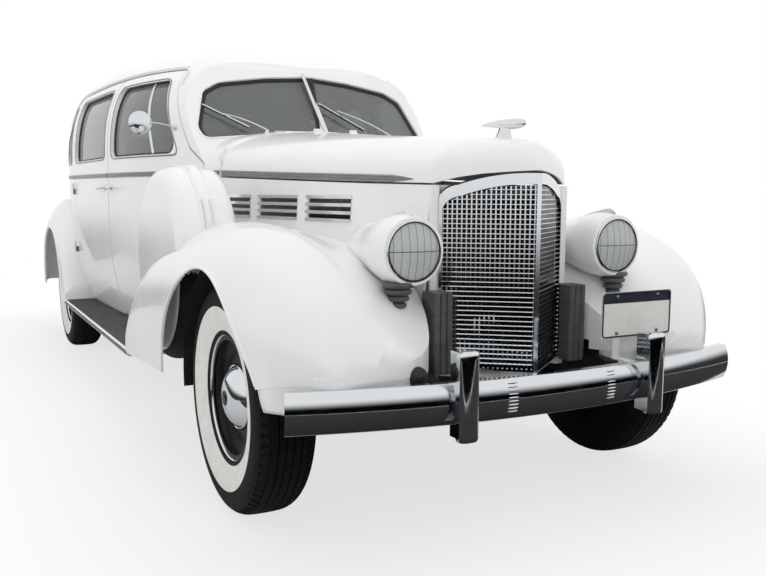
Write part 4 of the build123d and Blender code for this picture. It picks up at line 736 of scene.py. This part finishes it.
# drip rails over the doors, ending in a short drop at the windscreen pillars
dripRail = {
    # y behind the front axle, and z
    "line": [(1.405, 1.572), (1.45, 1.634), (1.50, 1.656), (1.56, 1.661), (2.2, 1.661), (3.02, 1.661),
             (3.25, 1.640), (3.46, 1.585), (3.62, 1.500)],
    "profile": [(-7, -2), (-7, 3), (-4, 10), (-1, 11.5), (3, 10), (1, 7), (-1, 6), (-1, 0), (6, -2)],
}
for side, sign in sides.items():
    starts = [(sign * far, frontAxle + y, z) for y, z in smoothLine(dripRail["line"], 90)]
    path, outward = seatPath(["roof", "rear_body", "cowl"], starts, (-sign, 0, 0))
    sweep(f"dripRail_{side}", path, outward, dripRail["profile"], "enamel")

# headlamps: mirror bowl, bulb, bezel with a dark seal, and a low fin along the pod
headlamp = {"x": 0.401, "y": frontAxle - 0.474, "z": 0.893, "bowl": 0.0815, "finLength": 0.21}
for side, sign in sides.items():
    centre = np.array((sign * headlamp["x"], headlamp["y"], headlamp["z"]))
    turned(f"lampBezel_{side}", [(89, -2), (89, 3), (90.5, 4.5), (93, 4), (94.5, 1.5), (94.5, -3)],
           centre, (0, -1, 0), "chrome")
    turned(f"lampSeal_{side}", [(86.8, 1), (86.8, 5), (89.1, 5), (89.1, 1)], centre, (0, -1, 0), "gasket")
    turned(f"lampBulb_{side}", [(0, 12), (7, 10), (11, 2), (9, -8), (6, -14), (6, -56), (0, -56)],
           centre + np.array((0, 0.036, 0)), (0, -1, 0), "bulb", segments=24)
    y = np.linspace(headlamp["y"] + 0.012, headlamp["y"] + headlamp["finLength"], 24)
    path, outward = seatPath(["headlamp_shells"], [(sign * headlamp["x"], a, 1.3) for a in y], (0, 0, -1))
    rise = np.interp(np.arange(len(path)), [0, 3, 9, len(path) - 1], [0.35, 1.0, 0.5, 0.2])
    sweep(f"lampFin_{side}", path, outward, [(4, -1.5), (3.5, 5), (1.6, 15), (-1.6, 15), (-3.5, 5), (-4, -1.5)],
          "chrome", scale=rise)
paintFaces("headlamp_shells", "reflector", lambda middle, normal:
           (np.hypot(np.abs(middle[:, 0]) - headlamp["x"], middle[:, 2] - headlamp["z"]) < headlamp["bowl"])
           & (middle[:, 1] > headlamp["y"] + 0.0135) & (middle[:, 1] < headlamp["y"] + 0.0965))

# bumper arm buffers: dark domes with a button, low on the nose of each fender
buffer = {"x": 0.447, "level": 0.556, "stand": (0, -0.012, -0.022),
          "profile": [(0, 20), (5, 20), (7, 17), (9, 15.5), (15, 14), (23, 9), (29, 2), (31, -6), (29, -12),
                      (0, -12)]}
for side, sign in sides.items():
    hit = castOn(["front_fenders"], (sign * buffer["x"], frontAxle - 0.70, buffer["level"]), (0, 1, 0))
    place = np.array(hit[0]) + np.array(buffer["stand"])
    turned(f"armBuffer_{side}", buffer["profile"], place, (0, -1, 0.12), "gasket", segments=40)

# bumper: two groups of short level ribs beside the plain middle of the bar
bumperRibs = {"x": 0.190, "half": 0.017, "low": 0.428, "step": 0.0105, "count": 9}
for node, direction in (("front_bumper", 1), ("rear_bumper", -1)):
    for side, sign in sides.items():
        for rib in range(bumperRibs["count"]):
            z = bumperRibs["low"] + rib * bumperRibs["step"]
            x = np.linspace(-1, 1, 5) * bumperRibs["half"] + sign * bumperRibs["x"]
            path, outward = seatPath([node], [(a, -direction * 3.2, z) for a in x], (0, direction, 0))
            sweep(f"{node}Rib{rib}_{side}", path, outward, halfRound(5, 4, 5), "chrome",
                  scale=[0.5, 1, 1, 1, 0.5])

# bumper guards: chamfered bars over the uprights, rounded off at both ends
guard = {"x": 0.3595, "front": 0.013, "low": 0.362, "high": 0.626,
         "profile": [(-33, -16), (-33, 2), (-27, 9), (-13, 14), (13, 14), (27, 9), (33, 2), (33, -16)]}
for node, direction in (("front_bumper", 1), ("rear_bumper", -1)):
    for side, sign in sides.items():
        hit = castOn([node], (sign * guard["x"], -direction * 3.2, 0.58), (0, direction, 0))
        if not hit:
            continue
        z = np.concatenate([[guard["low"]], np.linspace(guard["low"] + 0.006, guard["high"] - 0.014, 24),
                            [guard["high"] - 0.005, guard["high"]]])
        path = np.stack([np.full(len(z), sign * guard["x"]), np.full(len(z), hit[0][1]), z], axis=1)
        scale = np.concatenate([[0.86], np.ones(24), [0.92, 0.66]])
        sweep(f"guard_{node}_{side}", path, (0, -direction, 0), guard["profile"], "chrome", scale=scale)

# plate: rolled border, dark blank band and four bolt heads
plate = {"centre": np.array((0.385, frontAxle - 0.602, 0.672)), "width": 0.305, "height": 0.152, "band": 0.030,
         "bolt": [(0, 4.5), (4, 4), (6.5, 2), (6.5, 0), (0, 0)], "boltX": 0.0889, "boltZ": 0.0603}
halfWidth, halfHeight = plate["width"] / 2 - 0.004, plate["height"] / 2 - 0.004
border = roundedOutline([(-halfWidth, -halfHeight), (halfWidth, -halfHeight), (halfWidth, halfHeight),
                         (-halfWidth, halfHeight)], 0.012)
path = [plate["centre"] + np.array((x, 0, z)) for x, z in border]
sweep("plateBorder", path, (0, -1, 0), halfRound(6, 2.5), "plateBand", closed=True)
bandTop = halfHeight - 0.003
bandPoints = [plate["centre"] + np.array((x, -0.0008 * out, z)) for out in (0, 1)
              for x, z in ((-halfWidth, bandTop - plate["band"]), (halfWidth, bandTop - plate["band"]),
                           (halfWidth, bandTop), (-halfWidth, bandTop))]
bandFaces = [(0, 1, 2, 3), (7, 6, 5, 4), (0, 4, 5, 1), (1, 5, 6, 2), (2, 6, 7, 3), (3, 7, 4, 0)]
newPiece("plateBand", bandPoints, bandFaces, "plateBand", smooth=False)
for x in (-plate["boltX"], plate["boltX"]):
    for z in (-plate["boltZ"], plate["boltZ"]):
        name = f"plateBolt_{'l' if x > 0 else 'r'}{'u' if z > 0 else 'd'}"
        turned(name, plate["bolt"], plate["centre"] + np.array((x, 0, z)), (0, -1, 0), "stainless", segments=20)
print("lamps, bumpers and plate trimmed")

# wheels: bright trim ring, rings on the hub cap and a ribbed tread on each tyre
wheelPlaces = {
    "front_left": (0.766, frontAxle, 1), "front_right": (-0.766, frontAxle, -1),
    "rear_left": (0.783, rearAxle, 1), "rear_right": (-0.783, rearAxle, -1),
}
wheel = {
    "ring": [(205, 60), (206.5, 67), (210, 71.5), (214, 73), (217.5, 72), (219, 69), (219, 62), (213, 63),
             (208, 58)],
    "disc": [(110.5, 31), (110.5, 35.4), (130, 29.9), (150, 24.4), (160, 23.6), (170, 26.2), (190, 35.2),
             (197, 38.6), (197, 35), (160, 19), (150, 20)],
    "capEdge": [(104, 38), (104, 44), (108, 46), (112, 42), (113, 36), (112, 33), (104, 33)],
    "capBoss": [(0, 92), (14, 91), (24, 88), (28, 84), (28, 80), (0, 80)],
    "capRadius": 0.112, "capBase": 0.0362,
}
wheelParts = {"ring": ("chrome", 96), "disc": ("wheelPaint", 96), "capEdge": ("chrome", 64),
              "capBoss": ("capEnamel", 64)}
tyre = {
    # half section: distance from its middle plane, radius, mm
    "section": [(0, 389.6), (30, 389), (56, 386.5), (74, 379), (88, 366), (97, 347), (100.5, 322), (99.5, 292),
                (94, 262), (85, 238), (77, 223), (73, 210)],
    "ribs": (12, 36, 60), "ribWidth": 4, "depth": 0.006, "blocks": 72, "notch": (63, 86),
}


for name, (x, y, sign) in wheelPlaces.items():
    centre, body = (x, y, axleHeight), f"wheel_{name}"
    for part, (key, segments) in wheelParts.items():
        turned(f"{part}_{name}", wheel[part], centre, (sign, 0, 0), key, body, segments)
    # the hub cap: faces of the wheel that look out, near the axle and proud of the disc
    paintFaces(body, "chrome", lambda middle, normal:
               (np.hypot(middle[:, 1] - y, middle[:, 2] - axleHeight) < wheel["capRadius"])
               & (normal[:, 0] * sign > 0.05) & ((middle[:, 0] - x) * sign > wheel["capBase"]))
    # tread: the section turned round the axle, less grooves round it and notches across its shoulders
    half = smoothLine(tyre["section"], 80)
    section = np.concatenate([half[::-1] * (-1, 1), half[1:]])
    around = np.linspace(0, 2 * pi, tyre["blocks"] * 6, endpoint=False)[:, None]
    across, crown = section[None, :, 0], section[None, :, 1] / 1000
    groove = np.min([np.abs(np.abs(across) - rib) for rib in tyre["ribs"]], axis=0) < tyre["ribWidth"] / 2
    turn = (around * tyre["blocks"] / (2 * pi)) % 1
    notch = ((turn < 0.34) & (np.abs(across) > tyre["notch"][0]) & (np.abs(across) < tyre["notch"][1])
             & (crown > 0.36))
    radius = crown - tyre["depth"] * np.maximum(groove, notch)
    points = np.stack(np.broadcast_arrays(x + across / 1000, y + radius * np.cos(around),
                                          axleHeight + radius * np.sin(around)), axis=-1)
    axle = "frontTyre" if "front" in name else "rearTyre"
    faces = gridFaces(*points.shape[:2], True, True)
    piece = newPiece(f"treadTyre_{name}", points.reshape(-1, 3), faces, axle, body)
    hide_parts(f"tyre_{name}")
print("wheels trimmed")

# fenders: rolled bead round each wheel opening
archBead = {"radius": 0.4365, "inner": 0.80, "profile": halfRound(12, 5)}
for side, sign in sides.items():
    for node, y in (("front_fenders", frontAxle), ("rear_fenders", rearAxle)):
        starts, _ = arcPath((sign * far, y, axleHeight), archBead["radius"], -20, 200, 90)
        hits = [castOn([node], start, (-sign, 0, 0)) for start in starts]
        hits = [hit for hit in hits if hit and abs(hit[0][0]) > archBead["inner"]]
        path, outward = np.array([hit[0] for hit in hits]), np.array([hit[1] for hit in hits])
        sweep(f"archBead_{node}_{side}", path, outward, archBead["profile"], "enamel")

# splash shields: curved near-black sheets over the back of each front wheel, painted shade that closes off the
# wells
shield = {"radius": 0.446, "x": 0.738, "arc": (-6, 150), "profile": [(-134, -1), (-134, 1), (134, 1), (134, -1)]}
for side, sign in sides.items():
    path, outward = arcPath((sign * shield["x"], frontAxle, axleHeight), shield["radius"], *shield["arc"], 80)
    sweep(f"wellShadeSheet_{side}", path, -outward, shield["profile"], "wellShade")

# running boards: ribbed rubber mat with a bright strip along the outer edge
board = {"top": 0.384, "outer": 0.946, "front": frontAxle + 1.118, "back": frontAxle + 3.030, "ribs": 26,
         "strip": [(8, -1), (8, 3), (3, 4.5), (0, 3.2), (-3, 4.5), (-8, 3), (-8, -1)]}
for side, sign in sides.items():
    y = np.linspace(board["front"], board["back"], 60)
    inner = []
    for a in y:
        hit = castOn(["body_sills", "cowl", "rear_body"], (sign * far, a, 0.392), (-sign, 0, 0))
        inner.append(abs(hit[0][0]) + 0.016 if hit else 0.80)
    t = np.linspace(0, 1, board["ribs"] * 6 + 1)
    rib = np.where((t * board["ribs"]) % 1 < 0.55, 0.0045, 0.0015)
    rib[[0, -1]] = -0.001
    x = np.array(inner)[:, None] * (1 - t) + board["outer"] * t
    points = np.stack(np.broadcast_arrays(sign * x, y[:, None], board["top"] + rib[None, :]), axis=-1)
    faces = mirroredFaces(gridFaces(*points.shape[:2]), sign)
    newPiece(f"boardMat_{side}", points.reshape(-1, 3), faces, "mat", smooth=False, closed=False)
    y = np.linspace(board["front"] - 0.012, board["back"], 30)
    path, outward = seatPath(["running_boards"], [(sign * far, a, 0.370) for a in y], (-sign, 0, 0))
    sweep(f"boardStrip_{side}", path, outward, board["strip"], "stainless")

# spare wheel covers: raised band with a bead on each edge, and a clamp at its front end
cover = {
    "x": 0.775, "y": frontAxle + 0.736, "z": 0.785, "radius": 0.385,
    "band": [(28, -1), (28, 5), (23, 7), (19, 4.5), (-19, 4.5), (-23, 7), (-28, 5), (-28, -1)],
    "clamps": {"58a": ((58, 65), [(-16, 0), (-16, 9), (-11, 9), (-11, 0)]),
               "58b": ((58, 65), [(16, 0), (11, 0), (11, 9), (16, 9)]),
               "64a": ((64, 66), [(-19, 0), (-19, 10), (19, 10), (19, 0)])},
}
for side, sign in sides.items():
    path, outward = arcPath((sign * cover["x"], cover["y"], cover["z"]), cover["radius"], -15, 195, 80)
    sweep(f"coverBand_{side}", path, outward, cover["band"], "enamel")
    for name, (run, profile) in cover["clamps"].items():
        sweep(f"coverClamp{name}_{side}", path[slice(*run)], outward[slice(*run)], profile, "chrome")

# door handles: escutcheon, curved lever and its neck, beside the meeting edges of the doors
handle = {"z": 1.090, "reach": 0.034, "length": 0.125, "inset": 0.052}
for side, sign in sides.items():
    for place, y, run in (("front", doorSplit - handle["inset"], -1),
                          ("rear", doorSplit + handle["inset"] + 0.011, 1)):
        node = f"{place}_door_{side}"
        hit = castOn([node], (sign * far, y, handle["z"]), (-sign, 0, 0))
        base, normal = np.array(hit[0]), np.array(hit[1])
        turned(f"handlePlate_{node}", [(0, 8), (9, 7), (17, 3.5), (19, 0), (19, -1), (0, -1)], base, normal,
               "chrome", node, segments=32)
        t = np.linspace(0, 1, 16)[:, None]
        lever = (base + normal * handle["reach"] * np.sin(np.minimum(t * 2.6, 1) * pi / 2)
                 + np.array((0, run, 0)) * handle["length"] * np.clip(t - 0.18, 0, 1) / 0.82
                 - np.array((0, 0, 0.006)) * np.sin(t * pi))
        sweep(f"handleLever_{node}", lever, (0, 0, 1), roundRod(11, 13), "chrome", node,
              scale=np.interp(t[:, 0], [0, 0.2, 0.8, 1], [0.9, 0.9, 1.1, 0.5]))

# mirror on the right front door: bent arm and a round chrome head, glass towards the driver
mirror = {"head": np.array((-0.850, frontAxle + 1.150, 1.366)), "foot": (frontAxle + 1.337, 1.366)}
hit = castOn(["front_door_right"], (-1.3, *mirror["foot"]), (1, 0, 0))
foot, out = np.array(hit[0]), np.array(hit[1])
t = np.linspace(0, 1, 14)[:, None]
armPath = ((1 - t) ** 2 * foot + 2 * t * (1 - t) * (foot + out * 0.13)
           + t ** 2 * (mirror["head"] + np.array((0, 0.014, 0))))
sweep("mirrorArm", armPath, (0, 0, 1), roundRod(9, 9), "chrome", "front_door_right")
turned("mirrorFoot", [(0, 9), (9, 8), (15, 4), (17, 0), (17, -1), (0, -1)], foot, out,
       "chrome", "front_door_right", segments=32)
turned("mirrorHead", [(0, 15), (16, 14), (32, 9), (44, 1), (50, -8), (50, -12), (47, -12), (0, -11)],
       mirror["head"], (0, -1, 0), "chrome", "front_door_right")
turned("mirrorGlass", [(0, -11), (46, -11), (46, -12.5), (0, -12.5)], mirror["head"], (0, -1, 0), "reflector",
       "front_door_right")
print("doors, boards and covers trimmed")

# seats: pleated cushions and backs, rounded like stuffed cloth over springs
def pleatedPad(name, centre, size, tilt, pleats, body=None):
    # superellipsoid box: x, y, z = half size * sign(cos) |cos|^0.25 ..., dished by pleats along its length
    rows, columns = 49, 193
    v = np.linspace(-pi / 2, pi / 2, rows)[:, None]
    u = np.linspace(-pi, pi, columns)[:-1][None, :]

    def power(value, exponent):
        return np.sign(value) * np.abs(value) ** exponent

    level = power(np.cos(v), 0.22)
    level[[0, -1]] = 0
    x = level * power(np.cos(u), 0.22)
    y = level * power(np.sin(u), 0.22)
    z = power(np.sin(v), 0.30) * np.ones_like(u)
    half = np.array(size) / 2
    crown = 1 + 0.10 * np.cos(x * pi / 2) * np.cos(y * pi / 2)
    groove = np.abs(np.sin(x * pleats * pi / 2)) ** 0.35
    puff = np.where(z > 0, (0.90 + 0.10 * groove) * crown, 1)
    local = np.stack(np.broadcast_arrays(x * half[0], y * half[1], z * half[2] * puff), axis=-1).reshape(-1, 3)
    turn = np.array(Matrix.Rotation(radians(tilt), 3, "X"))
    points = local @ turn.T + np.array(centre)
    faces = gridFaces(rows, columns - 1, False, True)
    piece = newPiece(name, points, faces, "cloth", body)
    return piece


seats = {
    "frontCushion": {"centre": (0, frontAxle + 1.800, 0.845), "size": (1.19, 0.50, 0.24), "tilt": 3, "pleats": 14},
    "frontBack": {"centre": (0, frontAxle + 2.120, 1.150), "size": (1.19, 0.53, 0.17), "tilt": 100, "pleats": 14},
    "rearCushion": {"centre": (0, frontAxle + 2.945, 0.830), "size": (1.22, 0.50, 0.24), "tilt": 3, "pleats": 14},
    "rearBack": {"centre": (0, frontAxle + 3.265, 1.150), "size": (1.22, 0.56, 0.17), "tilt": 101, "pleats": 14},
}
pads = {name: pleatedPad(name, **seat) for name, seat in seats.items()}
seatBase = {
    "frontSeatBase": ((-0.57, 0.57), (frontAxle + 1.58, frontAxle + 2.17), (0.599, 0.735)),
    "rearSeatBase": ((-0.60, 0.60), (frontAxle + 2.72, frontAxle + 3.18), (0.599, 0.725)),
}
for name, (x, y, z) in seatBase.items():
    corners = [(a, b, c) for a in x for b in y for c in z]
    newPiece(name, corners, [(0, 1, 3, 2), (4, 6, 7, 5), (0, 4, 5, 1), (2, 3, 7, 6), (0, 2, 6, 4), (1, 5, 7, 3)],
             "carpet", smooth=False)
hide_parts("front_seat")
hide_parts("rear_seat")

# dashboard: two round dials with bright bezels, and a horn button on the wheel
dials = {"y": frontAxle + 1.280, "z": 1.168, "x": {0.300: 1.0, 0.105: 0.62, -0.105: 0.62}}     # x: size
for x, size in dials["x"].items():
    place = (x, dials["y"], dials["z"])
    turned(f"dialBezel_{round(x * 1000)}", [(56 * size, 0), (57 * size, 7), (62 * size, 8), (65 * size, 0)],
           place, (0, 1, 0), "chrome", segments=48)
    turned(f"dialFace_{round(x * 1000)}", [(0, 2), (57 * size, 2), (57 * size, 0), (0, 0)],
           place, (0, 1, 0), "plate", segments=48)
hornPlace = np.array((0.300, frontAxle + 1.430, 1.165))
leanOut = np.array((0, cos(radians(35)), sin(radians(35))))
turned("hornButton", [(0, 30), (12, 29), (24, 25), (33, 18), (0, 18)], hornPlace, leanOut, "chrome", segments=40)

# handle of the boot lid
lidHandle = {"z": 0.800, "half": 0.060}
hit = castOn(["boot_lid"], (0, 3.2, lidHandle["z"]), (0, -1, 0))
base, normal = np.array(hit[0]), np.array(hit[1])
turned("lidHandleBase", [(0, 18), (8, 17), (11, 8), (19, 3), (20, -1), (0, -1)], base, normal,
       "chrome", "boot_lid", segments=32)
t = np.linspace(-1, 1, 15)[:, None]
lidPath = base + normal * 0.022 + np.array((1, 0, 0)) * lidHandle["half"] * t
sweep("lidHandleBar", lidPath, normal, roundRod(15, 10), "chrome", "boot_lid",
      scale=1.15 - 0.5 * np.abs(t[:, 0]) ** 3)
print("seats and cabin fitted")

# camera, lamps, floor, and cards for the metal to show
cameraSetup = {
    "place": (-1.672, -4.795, 1.066),
    "yaw": -28.5,           # degrees, turned towards the car's left side
    "pitch": -7.42,
    "roll": 0.31,
    "lens": 40.28,
    "shift": (-0.0202, 0.0224),
}
cameraData = bpy.data.cameras.new("camera")
cameraData.lens = cameraSetup["lens"]
cameraData.sensor_width = 36
cameraData.shift_x, cameraData.shift_y = cameraSetup["shift"]
camera = bpy.data.objects.new("camera", cameraData)
camera.matrix_world = (
    Matrix.Translation(cameraSetup["place"])
    @ Matrix.Rotation(radians(cameraSetup["yaw"]), 4, "Z")
    @ Matrix.Rotation(radians(90 + cameraSetup["pitch"]), 4, "X")
    @ Matrix.Rotation(radians(cameraSetup["roll"]), 4, "Z"))
bpy.context.scene.collection.objects.link(camera)
bpy.context.scene.camera = camera

lampSetup = {
    # name: place, aimed at, width, height, watts
    "skyLamp": ((0, -0.5, 6.5), (0, -0.5, 0), 5, 8, 117),
    "frontLamp": ((-3.5, -8, 4.2), (0, -1.5, 0.8), 4, 2, 45),
    "leftLamp": ((6.5, -3, 3.8), (0, -0.5, 0.9), 5, 2, 25),
    "rightLamp": ((-7, 1, 4.2), (0, 0.5, 0.9), 6, 2, 30),
    "backLamp": ((2, 8, 3.8), (0, 1.5, 0.9), 5, 2, 30),
}
for name, (place, target, width, height, watts) in lampSetup.items():
    lampData = bpy.data.lights.new(name, "AREA")
    lampData.shape = "RECTANGLE"
    lampData.size, lampData.size_y = width, height
    lampData.energy = watts
    lamp = bpy.data.objects.new(name, lampData)
    lamp.location = place
    lamp.rotation_euler = (Vector(target) - Vector(place)).to_track_quat("-Z", "Y").to_euler()
    lamp.visible_glossy = False
    bpy.context.scene.collection.objects.link(lamp)


def seenDirectly(tree):
    # 1 for rays from the camera, off a mirror or through glass, 0 for the light that falls on things
    ray = addNode(tree, "ShaderNodeLightPath").outputs
    either = addNode(tree, "ShaderNodeMath", {0: ray["Is Camera Ray"], 1: ray["Is Transmission Ray"]},
                     operation="MAXIMUM").outputs[0]
    return addNode(tree, "ShaderNodeMath", {0: either, 1: ray["Is Glossy Ray"]}, operation="MAXIMUM").outputs[0]


world = bpy.data.worlds.new("studio")
world.use_nodes = True
bpy.context.scene.world = world
worldTree = world.node_tree
worldTree.nodes.clear()
strength = addNode(worldTree, "ShaderNodeMapRange", {
    "Value": seenDirectly(worldTree), "To Min": 0.68, "To Max": 1.0})
sky = addNode(worldTree, "ShaderNodeBackground", {"Color": (1, 1, 1, 1), "Strength": strength.outputs[0]})
addNode(worldTree, "ShaderNodeOutputWorld", {"Surface": sky.outputs[0]})

# floor: a pale sheet with soft shadows under the car, fading to the white of the background
# within 2 m of it; distance = length of (|place| - half the car's plan), where that is positive
floorSetup = {"halfPlan": (0.80, 2.60, 0), "fade": 1.3}
floorMaterial, floorTree, floorShader = startMaterial("studioFloor", Base_Color="#E6E6E6", Roughness=0.9)
place = addNode(floorTree, "ShaderNodeTexCoord").outputs["Object"]
away = addNode(floorTree, "ShaderNodeVectorMath", {0: place}, operation="ABSOLUTE").outputs[0]
away = addNode(floorTree, "ShaderNodeVectorMath", {0: away, 1: floorSetup["halfPlan"]},
               operation="SUBTRACT").outputs[0]
away = addNode(floorTree, "ShaderNodeVectorMath", {0: away, 1: (0, 0, 0)}, operation="MAXIMUM").outputs[0]
away = addNode(floorTree, "ShaderNodeVectorMath", {0: away}, operation="LENGTH").outputs["Value"]
fade = addNode(floorTree, "ShaderNodeMapRange", {
    "Value": away, "From Max": floorSetup["fade"], "To Min": 0.72, "To Max": 1.0},
    interpolation_type="SMOOTHSTEP").outputs[0]
cameraRay = addNode(floorTree, "ShaderNodeLightPath").outputs["Is Camera Ray"]
fade = addNode(floorTree, "ShaderNodeMath", {0: fade, 1: cameraRay}, operation="MULTIPLY").outputs[0]
white = addNode(floorTree, "ShaderNodeEmission", {"Color": (1, 1, 1, 1), "Strength": 1.0}).outputs[0]
mixed = addNode(floorTree, "ShaderNodeMixShader", {0: fade, 1: floorShader.outputs[0], 2: white}).outputs[0]
floorTree.links.new(mixed, floorTree.nodes["Material Output"].inputs["Surface"])


def stageSheet(name, corners, material, reflectedOnly=True):
    # one flat face that isn't part of the car; most are seen only in its bright metal and gloss
    data = bpy.data.meshes.new(name)
    data.from_pydata(corners, [], [(0, 1, 2, 3)])
    data.materials.append(material)
    sheet = bpy.data.objects.new(name, data)
    if reflectedOnly:
        sheet.visible_camera = sheet.visible_diffuse = sheet.visible_transmission = sheet.visible_shadow = False
    bpy.context.scene.collection.objects.link(sheet)


stageSheet("studioFloor", [(-40, -40, 0), (40, -40, 0), (40, 40, 0), (-40, 40, 0)], floorMaterial, False)

# cards beside the car, dark at the floor and white at the top: only its bright metal and gloss show them
cards = {
    # name: middle of the foot, half width, height, direction of its width, how dark at the foot
    "frontCard": ((-1.0, -4.7), 4.5, 1.15, (1, 0), "#060606"),
    "rightCard": ((-3.4, 0.2), 4.6, 1.0, (0, 1), "#3A3A3A"),
    "leftCard": ((3.4, -0.2), 4.6, 1.0, (0, 1), "#3A3A3A"),
    "backCard": ((0.0, 5.4), 4.5, 1.0, (1, 0), "#202020"),
}
stageSheet("groundSheet", [(-3.3, -4.65, 0.004), (3.3, -4.65, 0.004), (3.3, -2.6, 0.004), (-3.3, -2.6, 0.004)],
           startMaterial("groundSheet", Base_Color="#2C2D2E", Roughness=0.95)[0])
for name, (middle, half, high, run, foot) in cards.items():
    # brightness = smooth step of height
    material = bpy.data.materials.new(name)
    material.use_nodes = True
    tree = material.node_tree
    tree.nodes.clear()
    place = addNode(tree, "ShaderNodeTexCoord").outputs["Object"]
    height = addNode(tree, "ShaderNodeSeparateXYZ", {0: place}).outputs[2]
    rise = addNode(tree, "ShaderNodeMapRange", {"Value": height, "From Min": 0.35 * high, "From Max": high},
                   interpolation_type="SMOOTHSTEP").outputs[0]
    glow = addNode(tree, "ShaderNodeEmission", {
        "Color": tint(tree, rise, foot, "#FFFFFF"), "Strength": 1.0}).outputs[0]
    addNode(tree, "ShaderNodeOutputMaterial", {"Surface": glow})
    corners = [(middle[0] + run[0] * a, middle[1] + run[1] * a, b)
               for a, b in ((-half, 0.01), (half, 0.01), (half, high), (-half, high))]
    stageSheet(name, corners, material)
bpy.context.scene.view_settings.view_transform = "Standard"
print("camera, lamps and floor set")
